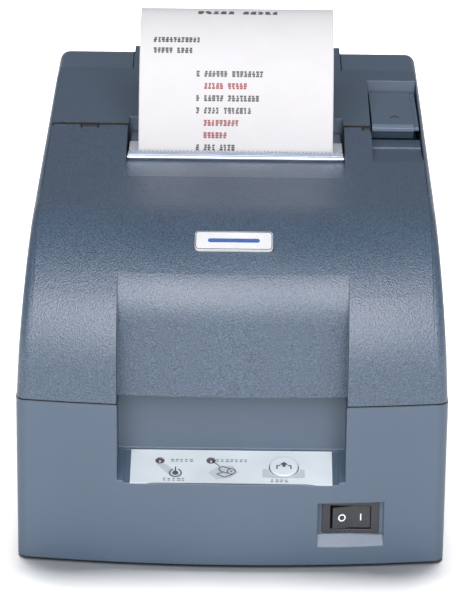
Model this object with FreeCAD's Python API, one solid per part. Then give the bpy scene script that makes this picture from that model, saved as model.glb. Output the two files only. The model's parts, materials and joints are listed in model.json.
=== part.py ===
import FreeCAD, Part

import math
import os

# Receipt printer with an impact (ribbon) mechanism.
# Millimetres.  X to the right, Y to the rear, Z up.
# The origin is on the table, under the middle of the case.

V = FreeCAD.Vector
os.makedirs("parts", exist_ok=True)

# ---------------------------------------------------------------- driving dimensions
CASE_HALF_WIDTH = 80.0
FRONT = -124.0
REAR = 124.0
FOOT_STANDOFF = 1.0
SEAM_Z = 64.4
SEAM_GAP = 0.7
FLOOR_TOP = 4.5
WALL = 2.5

BOW_RADIUS = 510.0            # the whole front is bowed in plan
CORNER_ROUND = 4.2
STRAIGHT_TOP_Z = 78.0         # the front rises straight to here, then bends back twice
LOW_BEND = 40.0
HIGH_BEND = 62.0
BEND_JOIN_DEG = 140.0         # direction of the surface normal where the bends join
TOP_SLOPE_DEG = 4.57
SHOULDER_DROP = 1.3           # the side shoulders lie this far under the raised middle
RAIL_DROP = 1.7               # and the rails a little more, where the bow has run out
LID_DROP = 0.2
CREST_Y = 69.8
REAR_TOP_Z = 135.8
REAR_ROUND = 30.0

SIDE_SPLIT_Y = -56.0          # ahead of this the front cover is as wide as the case
RAIL_HALF_GAP = 73.6          # behind it the covers lie between two side rails
RAIL_SHELF_Z = 115.0
SHOULDER_WIDTHS = (CASE_HALF_WIDTH, 77.3, 73.6)     # half widths at heights 60, 104 and 145
LID_HALF_WIDTH = 73.2
CROWN_WIDTHS = (75.2, 73.6, LID_HALF_WIDTH)
SLOT_HALF = 42.6              # the paper slot, the notch and the finger scoop share this half width
NOTCH_Y = -45.0
NOTCH_END_Y = -19.8
NOTCH_END_Z = 126.0
SCOOP_SETBACK = 9.0
SCOOP_MEET_DEG = 131.0        # where on the upper bend the finger scoop begins
SCOOP_START_DEG = 133.0       # and the direction of its own surface normal there

HOLLOW_X0 = 53.6              # fingertip hollow in the cover, ahead of the lever
HOLLOW_X1 = LID_HALF_WIDTH + 2.0
HOLLOW_Y = -3.0
HOLLOW_Z = 126.4
HOLLOW_R = 125.0

COVER_AXIS_Y = 7.0
COVER_AXIS_Z = 129.3
KNUCKLE_R = 2.5
PIN_R = 1.2
RUN_CLEAR = 0.05              # radial clearance of a running fit
KNUCKLE_SPANS = ((-72, -62), (-54, -44), (44, 50))
BRACKET_SPANS = ((-61, -55), (50.6, 53.2))
LID_FRONT_Y = 10.2
LID_SLOT_Y = 16.5
LID_AXIS_Y = 116.0
LID_AXIS_Z = 114.0
LID_PIN_R = 1.5
LID_BARREL_R = 6.1            # the lid's rear edge is rounded about its hinge
HUMP_HALF = 43.0
HUMP_TOP_Z = 138.5
HUMP_TOP_Y = 94.0
HUMP_ROUND = 28.6
BADGE_LENGTH = 28.9
BADGE_WIDTH = 9.4
BADGE_SLOPE_DEG = 27.0
BADGE_GAP = 0.3
TOOTH_PITCH = 1.5             # tear bar
TOOTH_HEIGHT = 1.1
TOOTH_TIP_Z = 130.2

LEVER_X0 = 54.2
LEVER_X1 = 72.8
LEVER_FRONT_Y = 10.0
LEVER_REAR_Y = 58.0
LEVER_AXIS_Y = 54.0
LEVER_AXIS_Z = 127.0
LEVER_PIN_R = 1.2
WELL_Z = 118.2                # underside of the well that the lever lies in
WELL_X0 = LEVER_X0 - 2.4

RECESS_HALF = 42.4            # front recess with the control shelf
RECESS_DEPTH = 19.5
SHELF_FRONT_Z = 33.7
SHELF_TILT_DEG = 18.6
BUTTON_X = 19.6
BUTTON_U = 10.1
BUTTON_R = 5.3
LED_R = 1.45
LED_PLACES = ((-26.7, 13.3), (-7.6, 13.6))

SWITCH_X = 44.7
SWITCH_HALF_X = 10.6
SWITCH_Z0 = 12.9
SWITCH_Z1 = 25.2
POCKET_HALF = 12.4
POCKET_Z0 = 8.2
POCKET_LEDGE_Z = 12.5
POCKET_Z1 = 26.0
POCKET_BACK_Y = -119.0
ROCKER_PIVOT_Y = -117.4
ROCKER_TILT_DEG = 8.0
ROCKER_PIN_R = 1.0

PAPER_HALF = 38.0
PAPER_THICK = 0.2
PAPER_Y = -16.5               # front face of the paper where it rises through the mechanism
PAPER_BEND_Z = 116.0
RECEIPT_BENDS = ((86.0, 28.6), (38.0, 43.4), (16.0, 26.0))     # radius and turn in degrees, going up
ROLL_R = 36.0
ROLL_Y = 69.0
BUCKET_R = 44.0
BUCKET_Z = 96.4
ROLL_Z = BUCKET_Z - BUCKET_R + ROLL_R + 0.4

SIDE_PLATE_X = 60.0
PLATE = 1.2
FEED_Z = 62.0
FEED_R = 7.0
PINCH_R = 4.5
ROLLER_GAP = 0.3
ROLLER_X = 24.0               # the rollers sit this far to each side of the middle
FEED_SHAFT_R = 2.5
FEED_Y = PAPER_Y + PAPER_THICK + ROLLER_GAP + FEED_R
PINCH_Y = PAPER_Y - ROLLER_GAP - PINCH_R
GUIDE_Z = 46.0
GEAR_MODULE = 1.0
FEED_TEETH = 24
IDLER_TEETH = 20
PINION_TEETH = 12
GEAR_X0 = -65.5
GEAR_X1 = -62.0
SHAFT_R = 4.0
SHAFT_Y = -44.0
SHAFT_Z = 78.0
PULLEY_X = 50.0
PULLEY_Y = -62.0
PULLEY_R = 6.0
BELT_Z0 = 72.0
BELT_Z1 = 77.0
KNOB_X = -48.0
KNOB_Y = -58.0
KNOB_Z0 = 113.8
KNOB_Z1 = 118.2

POST_PLACES = ((-52, -55), (52, -55), (-52, 10), (52, 10))
FOOT_PLACES = ((-62, -98), (62, -98), (-62, 100), (62, 100))
CASE_SCREW_PLACES = ((-71, -46), (71, -46), (-71, 70), (71, 70))
FOOT_R = 9.0

BOARD_Z = 12.0
BOARD_TOP = 13.6
PANEL_HALF = 54.0             # opening for the sockets in the rear wall
PANEL_Z0 = 8.0
PANEL_Z1 = 46.0
POWER_X = 36.0
POWER_Z = 24.0
POWER_R = 5.0
DRAWER_X = -38.0
DATA_X = 0.0
DATA_POST_X = 23.5
DATA_POST_Z = 21.0


# ---------------------------------------------------------------- helpers
def box(x0, x1, y0, y1, z0, z1):
    return Part.makeBox(x1 - x0, y1 - y0, z1 - z0, V(x0, y0, z0))


def rod_x(x0, x1, y, z, r):
    return Part.makeCylinder(r, x1 - x0, V(x0, y, z), V(1, 0, 0))


def rod_y(y0, y1, x, z, r):
    return Part.makeCylinder(r, y1 - y0, V(x, y0, z), V(0, 1, 0))


def rod_z(z0, z1, x, y, r):
    return Part.makeCylinder(r, z1 - z0, V(x, y, z0), V(0, 0, 1))


def union(*shapes):
    return shapes[0].multiFuse(list(shapes[1:])).removeSplitter()


def group(*shapes):
    return Part.makeCompound(list(shapes))


def mirrored(shape):
    return shape.mirror(V(0, 0, 0), V(1, 0, 0))


def outline(start, steps, place):
    """Closed face; each step is (end,) for a line or (middle, end) for an arc."""
    edges = []
    here = start
    for step in steps:
        end = step[-1]
        if len(step) == 1:
            edges.append(Part.LineSegment(place(*here), place(*end)).toShape())
        else:
            edges.append(Part.Arc(place(*here), place(*step[0]), place(*end)).toShape())
        here = end
    edges.append(Part.LineSegment(place(*here), place(*start)).toShape())
    return Part.Face(Part.Wire(edges))


def prism_x(points, x0, x1):
    """Side-view polygon of (y, z) points, made solid from x0 to x1."""
    steps = [(point,) for point in points[1:]]
    face = outline(points[0], steps, lambda y, z: V(x0, y, z))
    return face.extrude(V(x1 - x0, 0, 0))


def polar(centre, radius, degrees):
    angle = math.radians(degrees)
    return (centre[0] + radius * math.cos(angle), centre[1] + radius * math.sin(angle))


def write(name, shape):
    if not shape.isValid():
        raise RuntimeError("bad shape: " + name)
    shape.exportStep("parts/" + name + ".step")


# ---------------------------------------------------------------- outer form of the housing
LOW_CENTRE = (FRONT + LOW_BEND, STRAIGHT_TOP_Z)
BEND_JOIN = polar(LOW_CENTRE, LOW_BEND, BEND_JOIN_DEG)
HIGH_CENTRE = polar(BEND_JOIN, -HIGH_BEND, BEND_JOIN_DEG)
TOP_START = polar(HIGH_CENTRE, HIGH_BEND, 90 + TOP_SLOPE_DEG)


def top_z(y):
    """Height of the raised middle of the covers, on the midline."""
    return TOP_START[1] + (y - TOP_START[0]) * math.tan(math.radians(TOP_SLOPE_DEG))


def swept_profile(inset, drop, z_low, y_end):
    """The side profile swept round the bow; drop lowers the top and leaves the front in place."""
    low_centre = (LOW_CENTRE[0] - drop, LOW_CENTRE[1])
    high_centre = (HIGH_CENTRE[0] - drop, HIGH_CENTRE[1])
    low_r = LOW_BEND - drop - inset
    high_r = HIGH_BEND - drop - inset
    front = FRONT + inset
    middle_deg = (BEND_JOIN_DEG + 90 + TOP_SLOPE_DEG) / 2
    top_start = polar(high_centre, high_r, 90 + TOP_SLOPE_DEG)
    rise = (y_end - top_start[0]) * math.tan(math.radians(TOP_SLOPE_DEG))
    low_arc = (polar(low_centre, low_r, 160), polar(low_centre, low_r, BEND_JOIN_DEG))
    high_arc = (polar(high_centre, high_r, middle_deg), top_start)
    end_top = ((y_end, top_start[1] + rise),)
    steps = [((front, STRAIGHT_TOP_Z),), low_arc, high_arc, end_top, ((y_end, z_low),)]
    face = outline((front, z_low), steps, lambda y, z: V(0, y, z))
    axis = V(0, FRONT + BOW_RADIUS, 0)
    face.rotate(axis, V(0, 0, 1), -22)
    return face.revolve(axis, V(0, 0, 1), 44)


def side_limits(low, middle, top, inset):
    """Solid between two curved side faces; the half widths are given at heights 60, 104 and 145."""
    steps = [
        ((-(middle - inset), 104), (-(top - inset), 145)),
        ((top - inset, 145),),
        ((middle - inset, 104), (low - inset, 60)),
    ]
    face = outline((-(low - inset), 60), steps, lambda x, z: V(x, -140, z))
    return face.extrude(V(0, 320, 0))


def outer_edges(shape, least_x):
    """The long edges down both sides of a housing form."""
    found = []
    for edge in shape.Edges:
        span = edge.BoundBox
        beside = span.XMin > least_x or span.XMax < -least_x
        if beside and span.ZLength > 0.5 and span.ZMax > 90 and span.YLength > 4:
            found.append(edge)
    return found


def shoulder_form(inset, y_end):
    """Full-width form: side walls and the low shoulders at their top."""
    form = swept_profile(inset, SHOULDER_DROP, 60, y_end + 20)
    form = form.common(side_limits(*SHOULDER_WIDTHS, inset))
    form = form.common(box(-90, 90, -140, y_end + 10, 62, 160))
    if inset == 0:
        form = form.makeFillet(CORNER_ROUND, outer_edges(form, 73))
    return form.common(box(-90, 90, -140, y_end, 62, 160))


def crown_form(inset, y_end):
    """Narrower form that stands proud of the shoulders."""
    form = swept_profile(inset, 0, 60, y_end + 20)
    form = form.common(side_limits(*CROWN_WIDTHS, inset))
    return form.common(box(-90, 90, -140, y_end, 62, 160))


def rear_form(widths, inset, drop, front_y, rear_y):
    """Straight form behind the bowed front: sloping top, and the rounded rear where it reaches that far."""
    radius = REAR_ROUND - inset
    rear = min(REAR - inset, rear_y)
    top = REAR_TOP_Z - inset
    centre = (REAR - REAR_ROUND, REAR_TOP_Z - REAR_ROUND)
    steps = [
        ((front_y, top_z(front_y) - drop - inset),),
        ((CREST_Y, top_z(CREST_Y) - drop - inset),),
    ]
    if rear_y > CREST_Y:
        steps.append(((centre[0], top),))
        steps.append((polar(centre, radius, 45), (rear, centre[1])))
    steps.append(((rear, 62),))
    face = outline((front_y, 62), steps, lambda y, z: V(-95, y, z))
    form = face.extrude(V(190, 0, 0)).common(side_limits(*widths, inset))
    if inset == 0 and widths == SHOULDER_WIDTHS:
        form = form.makeFillet(CORNER_ROUND, outer_edges(form, 73))
    return form


def plan_form(inset, z0, z1):
    """Lower case outline: bowed front, straight sides and rear, rounded upright edges."""
    half = CASE_HALF_WIDTH - inset
    sagitta = half * half / (2 * BOW_RADIUS)
    corner = (half, FRONT + inset + sagitta)
    steps = [
        ((0, FRONT + inset), corner),
        ((half, REAR - inset),),
        ((-half, REAR - inset),),
    ]
    face = outline((-corner[0], corner[1]), steps, lambda x, y: V(x, y, z0))
    form = face.extrude(V(0, 0, z1 - z0))
    upright = [edge for edge in form.Edges if edge.BoundBox.ZLength > 1]
    return form.makeFillet(CORNER_ROUND + 0.5, upright)


def scoop_block(inset):
    """What the finger scoop takes from the front of the cover; inset moves its wall inwards."""
    half = SLOT_HALF + inset
    meet = polar(HIGH_CENTRE, HIGH_BEND, SCOOP_MEET_DEG)
    start = math.radians(SCOOP_START_DEG)
    radius = (meet[0] - FRONT - SCOOP_SETBACK) / (1 + math.cos(start))
    centre = (FRONT + SCOOP_SETBACK + radius, meet[1] - radius * math.sin(start))
    own_radius = radius - inset
    middle = (180 + SCOOP_START_DEG) / 2
    steps = [
        ((centre[0] - own_radius, 60),),
        ((centre[0] - own_radius, centre[1]),),
        (polar(centre, own_radius, middle), polar(centre, own_radius, SCOOP_START_DEG)),
        ((FRONT - 20, meet[1]),),
    ]
    face = outline((FRONT - 20, 60), steps, lambda y, z: V(0, y, z))
    axis = V(0, FRONT + BOW_RADIUS, 0)
    face.rotate(axis, V(0, 0, 1), -7)
    swept = face.revolve(axis, V(0, 0, 1), 14)
    return swept.common(box(-half, half, FRONT - 10, FRONT + 40, 60, meet[1] + 2))


def on_shelf(shape):
    """Moves a shape from shelf coordinates (x, up the slope, out of the slope) to its place."""
    shape.rotate(V(0, 0, 0), V(1, 0, 0), SHELF_TILT_DEG)
    shape.translate(V(0, FRONT, SHELF_FRONT_Z))
    return shape


# ---------------------------------------------------------------- case
def recess_cut(grow):
    """The front recess above the control shelf; grow makes the pocket that surrounds it."""
    half = RECESS_HALF + grow
    depth = RECESS_DEPTH + grow
    tilt = math.tan(math.radians(SHELF_TILT_DEG))
    points = [
        (FRONT - 12, SHELF_FRONT_Z - grow),
        (FRONT, SHELF_FRONT_Z - grow),
        (FRONT + depth, SHELF_FRONT_Z - grow + depth * tilt),
        (FRONT + depth, SEAM_Z + 1),
        (FRONT - 12, SEAM_Z + 1),
    ]
    return prism_x(points, -half, half)


def switch_pocket():
    """Pocket round the power switch; its floor slopes outwards and follows the bow of the front."""
    x0 = SWITCH_X - POCKET_HALF
    x1 = SWITCH_X + POCKET_HALF
    recess = box(x0, x1, FRONT - 4, POCKET_BACK_Y, POCKET_LEDGE_Z, POCKET_Z1)
    face_y = FRONT + SWITCH_X * SWITCH_X / (2 * BOW_RADIUS)
    points = [
        (FRONT - 6, POCKET_Z0),
        (face_y, POCKET_Z0),
        (POCKET_BACK_Y, POCKET_LEDGE_Z),
        (FRONT - 6, POCKET_LEDGE_Z),
    ]
    slope = prism_x(points, -POCKET_HALF - 1, POCKET_HALF + 1)
    slope.rotate(V(0, POCKET_BACK_Y, 0), V(0, 0, 1), math.degrees(math.asin(SWITCH_X / BOW_RADIUS)))
    slope.translate(V(SWITCH_X, 0, 0))
    return union(recess, slope.common(box(x0, x1, FRONT - 4, -110, 0, POCKET_Z1)))


def lower_case():
    outer = plan_form(0, FOOT_STANDOFF, SEAM_Z)
    shell = outer.cut(plan_form(WALL, FLOOR_TOP, SEAM_Z + 5))
    pocket = recess_cut(WALL).common(outer)
    switch_boss = box(SWITCH_X - 14.5, SWITCH_X + 14.5, FRONT, -116.5, 6, 28).common(outer)
    posts = [rod_z(FLOOR_TOP - 1, 34.5, x, y, 4.0) for x, y in POST_PLACES]
    towers = [rod_z(FLOOR_TOP - 1, SEAM_Z - 4, x, y, 4.5) for x, y in CASE_SCREW_PLACES]
    webs = []
    for x, y in CASE_SCREW_PLACES:
        webs.append(box(min(x, x * 1.1), max(x, x * 1.1), y - 1, y + 1, FLOOR_TOP - 1, SEAM_Z - 8))
    case = union(shell, pocket, switch_boss, *posts, *towers, *webs)
    case = case.cut(recess_cut(0))
    case = case.cut(on_shelf(box(-40.0, 40.0, 0.8, 20.0, -0.8, 1)))
    case = case.cut(switch_pocket())
    case = case.cut(box(SWITCH_X - SWITCH_HALF_X, SWITCH_X + SWITCH_HALF_X, -122, -110, SWITCH_Z0, SWITCH_Z1))
    case = case.cut(on_shelf(rod_z(-12, 2, BUTTON_X, BUTTON_U, BUTTON_R + 0.3)))
    for x, u in LED_PLACES:
        case = case.cut(on_shelf(rod_z(-12, 2, x, u, LED_R + 0.05)))
    for x, y in FOOT_PLACES:
        case = case.cut(rod_z(0, FOOT_STANDOFF + 2.0, x, y, FOOT_R))
    for x, y in CASE_SCREW_PLACES:
        case = case.cut(rod_z(0, 6.0, x, y, 3.2))
        case = case.cut(rod_z(5.0, 62.0, x, y, 1.5))
    for x, y in POST_PLACES:
        case = case.cut(rod_z(24.0, 35.0, x, y, 1.4))
    case = case.cut(box(-PANEL_HALF, PANEL_HALF, REAR - WALL - 1, REAR + 1, PANEL_Z0, PANEL_Z1))
    return case


def upper_case():
    """Side rails that frame the covers, and the rear of the top."""
    outer = rear_form(SHOULDER_WIDTHS, 0, RAIL_DROP, SIDE_SPLIT_Y + SEAM_GAP, REAR + 1)
    inner = rear_form(SHOULDER_WIDTHS, WALL, RAIL_DROP, SIDE_SPLIT_Y - 5, REAR + 1)
    shell = outer.cut(inner)
    shell = shell.common(box(-90, 90, -90, REAR + 1, SEAM_Z + SEAM_GAP / 2, 160))
    shell = shell.cut(box(-RAIL_HALF_GAP, RAIL_HALF_GAP, -90, CREST_Y + 1.4, RAIL_SHELF_Z, 160))
    shell = shell.cut(box(-HUMP_HALF - 0.5, HUMP_HALF + 0.5, CREST_Y - 2, REAR + 2, LID_AXIS_Z - 8.0, 160))
    lugs = []
    for x0, x1 in ((-51, -43.6), (43.6, 51)):
        lug = union(rod_x(x0, x1, LID_AXIS_Y, LID_AXIS_Z, 4.0), box(x0, x1, LID_AXIS_Y, REAR - 1, 107, 118))
        lugs.append(lug.common(outer))
    towers = []
    for x, y in CASE_SCREW_PLACES:
        wall_x = x + 9 if x > 0 else x - 9
        rib = box(min(x, wall_x), max(x, wall_x), y - 1.5, y + 1.5, 68, 96)
        boss = union(rod_z(SEAM_Z - 3.4, 96, x, y, 4.5), rib)
        towers.append(boss.common(union(outer, box(-77, 77, -61, 75, 60, 66))))
    shell = union(shell, *lugs, *towers)
    for x, y in CASE_SCREW_PLACES:
        shell = shell.cut(rod_z(50.0, 74.0, x, y, 1.5))
    for x in (-51, 43.6):
        shell = shell.cut(rod_x(x - 1, x + 8.4, LID_AXIS_Y, LID_AXIS_Z, LID_PIN_R))
    return shell


def rubber_feet():
    return group(*[rod_z(0, FOOT_STANDOFF + 2.0, x, y, FOOT_R - 0.2) for x, y in FOOT_PLACES])


def case_screws():
    screws = []
    for x, y in CASE_SCREW_PLACES:
        screws.append(union(rod_z(4.0, 6.0, x, y, 2.9), rod_z(5.9, 70, x, y, 1.4)))
    return group(*screws)


# ---------------------------------------------------------------- front cover
def notch_plate():
    """Floor of the paper notch."""
    points = [
        (NOTCH_Y - 3, 124.6),
        (NOTCH_END_Y, NOTCH_END_Z - 2.6),
        (NOTCH_END_Y, 129.0),
        (NOTCH_Y - 3, 127.0),
    ]
    return prism_x(points, -SLOT_HALF - 2.2, SLOT_HALF + 2.2)


def notch_cut():
    points = [
        (NOTCH_Y, 150),
        (NOTCH_Y, top_z(NOTCH_Y)),
        (NOTCH_Y + 2.0, top_z(NOTCH_Y) - 0.6),
        (NOTCH_END_Y + 2, NOTCH_END_Z),
        (NOTCH_END_Y + 2, 150),
    ]
    return prism_x(points, -SLOT_HALF, SLOT_HALF)


def lever_scoop():
    """Hollow in the cover ahead of the lever, for a fingertip, with a low step up at its rear."""
    dish = rod_x(HOLLOW_X0, HOLLOW_X1, HOLLOW_Y, HOLLOW_Z + HOLLOW_R, HOLLOW_R)
    dish = dish.common(box(HOLLOW_X0, HOLLOW_X1, -50, HOLLOW_Y, 110, 150))
    return union(dish, box(HOLLOW_X0, HOLLOW_X1, HOLLOW_Y - 0.1, 12, HOLLOW_Z + 0.6, 150))


def lever_scoop_floor():
    """The cover's skin under that hollow."""
    x0 = HOLLOW_X0 - 2.2
    x1 = LID_HALF_WIDTH
    dish = rod_x(x0, x1, HOLLOW_Y, HOLLOW_Z + HOLLOW_R, HOLLOW_R + 2.0)
    dish = dish.common(box(x0, x1, -45, HOLLOW_Y, 110, 129))
    step = box(x0, x1, HOLLOW_Y - 1, COVER_AXIS_Y + 1.4, HOLLOW_Z - 2.0, HOLLOW_Z + 1)
    return union(dish, step)


def badge_place(shape):
    """Moves a flat shape from the middle of the badge, lying level, onto the sloping front."""
    spot = polar(HIGH_CENTRE, HIGH_BEND, 90 + BADGE_SLOPE_DEG)
    shape.rotate(V(0, 0, 0), V(1, 0, 0), BADGE_SLOPE_DEG)
    shape.translate(V(0, spot[0], spot[1]))
    return shape


def rounded_plate(length, width, z0, z1, corner):
    plate = box(-length / 2, length / 2, -width / 2, width / 2, z0, z1)
    upright = [edge for edge in plate.Edges if edge.BoundBox.ZLength > 0.1 and edge.BoundBox.XLength < 0.1
               and edge.BoundBox.YLength < 0.1]
    return plate.makeFillet(corner, upright)


def printer_cover():
    behind = box(-90, 90, SIDE_SPLIT_Y, 20, 60, RAIL_SHELF_Z + 2)
    beside = box(LID_HALF_WIDTH, 90, SIDE_SPLIT_Y, 20, 60, 150)
    crown = crown_form(0, COVER_AXIS_Y).cut(behind).cut(beside).cut(mirrored(beside))
    outer = union(crown, shoulder_form(0, SIDE_SPLIT_Y))
    cavity = crown_form(WALL, COVER_AXIS_Y + 5)
    cavity = cavity.common(box(-LID_HALF_WIDTH + 2.2, LID_HALF_WIDTH - 2.2, -140, 20, 60, 150))
    cavity = union(cavity, shoulder_form(WALL, SIDE_SPLIT_Y - 2.0)).cut(scoop_block(WALL))
    rib = box(SLOT_HALF + 0.3, SLOT_HALF + 2.2, NOTCH_END_Y - 2, 20, 121.5, 140)
    for kept in (rib, mirrored(rib), notch_plate(), lever_scoop_floor()):
        cavity = cavity.cut(kept)
    cover = outer.cut(cavity).cut(scoop_block(0))
    cover = cover.cut(box(-90, 90, -140, 20, 50, SEAM_Z + SEAM_GAP / 2))
    cover = cover.cut(notch_cut())
    cover = cover.cut(box(-SLOT_HALF - 0.3, SLOT_HALF + 0.3, NOTCH_END_Y, 20, 110, 150))
    cover = cover.cut(lever_scoop())
    seat = rounded_plate(BADGE_LENGTH + 2 * BADGE_GAP, BADGE_WIDTH + 2 * BADGE_GAP, -0.5, 4, 1.9)
    cover = cover.cut(badge_place(seat))

    knuckles = []
    for x0, x1 in KNUCKLE_SPANS:
        arm = box(x0, x1, COVER_AXIS_Y - 6, COVER_AXIS_Y, COVER_AXIS_Z - KNUCKLE_R, COVER_AXIS_Z + 1.5)
        knuckles.append(union(rod_x(x0, x1, COVER_AXIS_Y, COVER_AXIS_Z, KNUCKLE_R), arm))
    cover = union(cover, *knuckles)
    for x0, x1 in BRACKET_SPANS:
        cover = cover.cut(box(x0 - 0.5, x1 + 0.5, COVER_AXIS_Y - 3.2, COVER_AXIS_Y + 6, 110, 140))
    for x0, x1 in ((-72.1, -43.9), (43.9, 53.5)):
        cover = cover.cut(rod_x(x0, x1, COVER_AXIS_Y, COVER_AXIS_Z, PIN_R + RUN_CLEAR))
    return cover


def cover_hinge_pins():
    return group(
        rod_x(-71, -45, COVER_AXIS_Y, COVER_AXIS_Z, PIN_R),
        rod_x(45, 53, COVER_AXIS_Y, COVER_AXIS_Z, PIN_R),
    )


def cover_hinge_brackets():
    brackets = []
    for x0, x1 in BRACKET_SPANS:
        eye = rod_x(x0, x1, COVER_AXIS_Y, COVER_AXIS_Z, KNUCKLE_R)
        stem = box(x0, x1, COVER_AXIS_Y - 2, COVER_AXIS_Y + 2, 112, COVER_AXIS_Z)
        brackets.append(union(eye, stem).cut(rod_x(x0 - 1, x1 + 1, COVER_AXIS_Y, COVER_AXIS_Z, PIN_R)))
    bridge = box(-61, 58.8, COVER_AXIS_Y - 4, COVER_AXIS_Y + 4, 112, 114)
    return union(bridge, *brackets)


def tear_bar():
    """Serrated cutter strip along the rear edge of the notch."""
    foot_z = NOTCH_END_Z - 2.0
    valley_z = TOOTH_TIP_Z - TOOTH_HEIGHT
    teeth_count = int(2 * (SLOT_HALF - 0.4) / TOOTH_PITCH)
    start = -teeth_count * TOOTH_PITCH / 2
    points = [(start, foot_z), (start, valley_z)]
    for tooth in range(teeth_count):
        points.append((start + (tooth + 0.5) * TOOTH_PITCH, TOOTH_TIP_Z))
        points.append((start + (tooth + 1) * TOOTH_PITCH, valley_z))
    points.append((start + teeth_count * TOOTH_PITCH, foot_z))
    steps = [(point,) for point in points[1:]]
    blade = outline(points[0], steps, lambda x, z: V(x, NOTCH_END_Y, z))
    fold = rod_x(-SLOT_HALF + 0.4, SLOT_HALF - 0.4, NOTCH_END_Y, NOTCH_END_Z + 1.2, 1.0)
    return union(blade.extrude(V(0, 0.6, 0)), fold)


def badge():
    return badge_place(rounded_plate(BADGE_LENGTH, BADGE_WIDTH, -0.5, 0.7, 1.6))


# ---------------------------------------------------------------- roll cover and lever
def middle_profile(inset):
    """Side view of the roll cover's middle, from the slot back over the roll to the rear hinge."""
    top = top_z(CREST_Y) - LID_DROP - inset
    front = LID_SLOT_Y + inset
    front_top = top_z(LID_SLOT_Y) - LID_DROP - inset
    centre = (HUMP_TOP_Y, HUMP_TOP_Z - HUMP_ROUND)
    rear_r = HUMP_ROUND - inset
    axis = (LID_AXIS_Y, LID_AXIS_Z)
    barrel_r = LID_BARREL_R - inset
    steps = [
        ((front, front_top),),
        ((CREST_Y, top),),
        ((HUMP_TOP_Y - 12, HUMP_TOP_Z - 0.55 - inset), (HUMP_TOP_Y, HUMP_TOP_Z - inset)),
        (polar(centre, rear_r, 50), polar(centre, rear_r, 10.5)),
        (polar(axis, barrel_r, -45), polar(axis, barrel_r, -90)),
        ((LID_AXIS_Y - 7, LID_AXIS_Z - 3),),
        ((LID_AXIS_Y - 7, RAIL_SHELF_Z + 3),),
    ]
    return outline((front, RAIL_SHELF_Z + 3), steps, lambda y, z: V(0, y, z))


def middle_hollow(half, rear):
    """Inside of that middle, back to the given rear; it is open below as far as the hinge."""
    front = LID_SLOT_Y + WALL
    profile = middle_profile(WALL).extrude(V(2 * half, 0, 0))
    profile.translate(V(-half, 0, 0))
    below = box(-half, half, front, LID_AXIS_Y - 7, RAIL_SHELF_Z - 15, RAIL_SHELF_Z + 4)
    return union(profile.common(box(-half, half, front, rear, 60, 160)), below)


def lever_well():
    """Floor, side and back of the well that the lever lies in, with a bearing for its pin."""
    y1 = LEVER_REAR_Y + 3
    floor = box(WELL_X0, LID_HALF_WIDTH, LID_FRONT_Y, y1, WELL_Z, WELL_Z + 2)
    side = box(WELL_X0, LEVER_X0 - 0.6, LID_FRONT_Y, y1, WELL_Z, 131)
    back = box(WELL_X0, LID_HALF_WIDTH, LEVER_REAR_Y + 0.8, y1, WELL_Z, 134.6)
    bearing_y0 = LEVER_AXIS_Y - 3
    bearing_x0 = LID_HALF_WIDTH - 2
    bearing = box(bearing_x0, LID_HALF_WIDTH, bearing_y0, y1 - 0.2, WELL_Z, LEVER_AXIS_Z + 1.8)
    bore = rod_x(WELL_X0 - 1, 90, LEVER_AXIS_Y, LEVER_AXIS_Z, LEVER_PIN_R + RUN_CLEAR)
    return union(floor, side, back, bearing).cut(bore)


def roll_cover():
    middle = middle_profile(0).extrude(V(2 * HUMP_HALF, 0, 0))
    middle.translate(V(-HUMP_HALF, 0, 0))
    middle = middle.cut(middle_hollow(HUMP_HALF - WALL, LID_AXIS_Y - 7))
    middle = middle.cut(middle_hollow(HUMP_HALF - 9, REAR))
    outer = rear_form(CROWN_WIDTHS, 0, LID_DROP, LID_FRONT_Y, CREST_Y)
    outer = outer.common(box(-LID_HALF_WIDTH, LID_HALF_WIDTH, -90, 90, RAIL_SHELF_Z + 3, 160))
    inner = rear_form(CROWN_WIDTHS, WALL, LID_DROP, LID_FRONT_Y + WALL, CREST_Y + 10)
    inner = inner.common(box(-LID_HALF_WIDTH + WALL, LID_HALF_WIDTH - WALL, -90, 90, 60, 160))
    sides = outer.cut(inner).cut(box(-HUMP_HALF + 0.4, HUMP_HALF - 0.4, -10, 90, 60, 160))
    sides = sides.cut(box(-90, 90, CREST_Y - 8, CREST_Y + 5, 60, top_z(CREST_Y - 8) - LID_DROP - WALL))
    left = box(-90, LEVER_X0 - 0.8, -10, 90, 60, 160)
    behind_lever = box(LEVER_X0 - 0.8, 90, LEVER_REAR_Y + 0.8, 90, 60, 160)
    sides = sides.common(union(left, behind_lever))
    slot_cheek = box(SLOT_HALF, SLOT_HALF + 2, LID_FRONT_Y, LID_SLOT_Y + 2, 121, 130.5)
    lid = union(middle, sides, slot_cheek, mirrored(slot_cheek), lever_well())
    lid = lid.cut(box(58, 68, 48, 56, WELL_Z - 1, WELL_Z + 3))
    lid = lid.cut(rod_x(-HUMP_HALF - 1, HUMP_HALF + 1, LID_AXIS_Y, LID_AXIS_Z, LID_PIN_R + RUN_CLEAR))
    return lid


def roll_cover_pins():
    return group(
        rod_x(-50.5, -36, LID_AXIS_Y, LID_AXIS_Z, LID_PIN_R),
        rod_x(36, 50.5, LID_AXIS_Y, LID_AXIS_Z, LID_PIN_R),
    )


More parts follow.
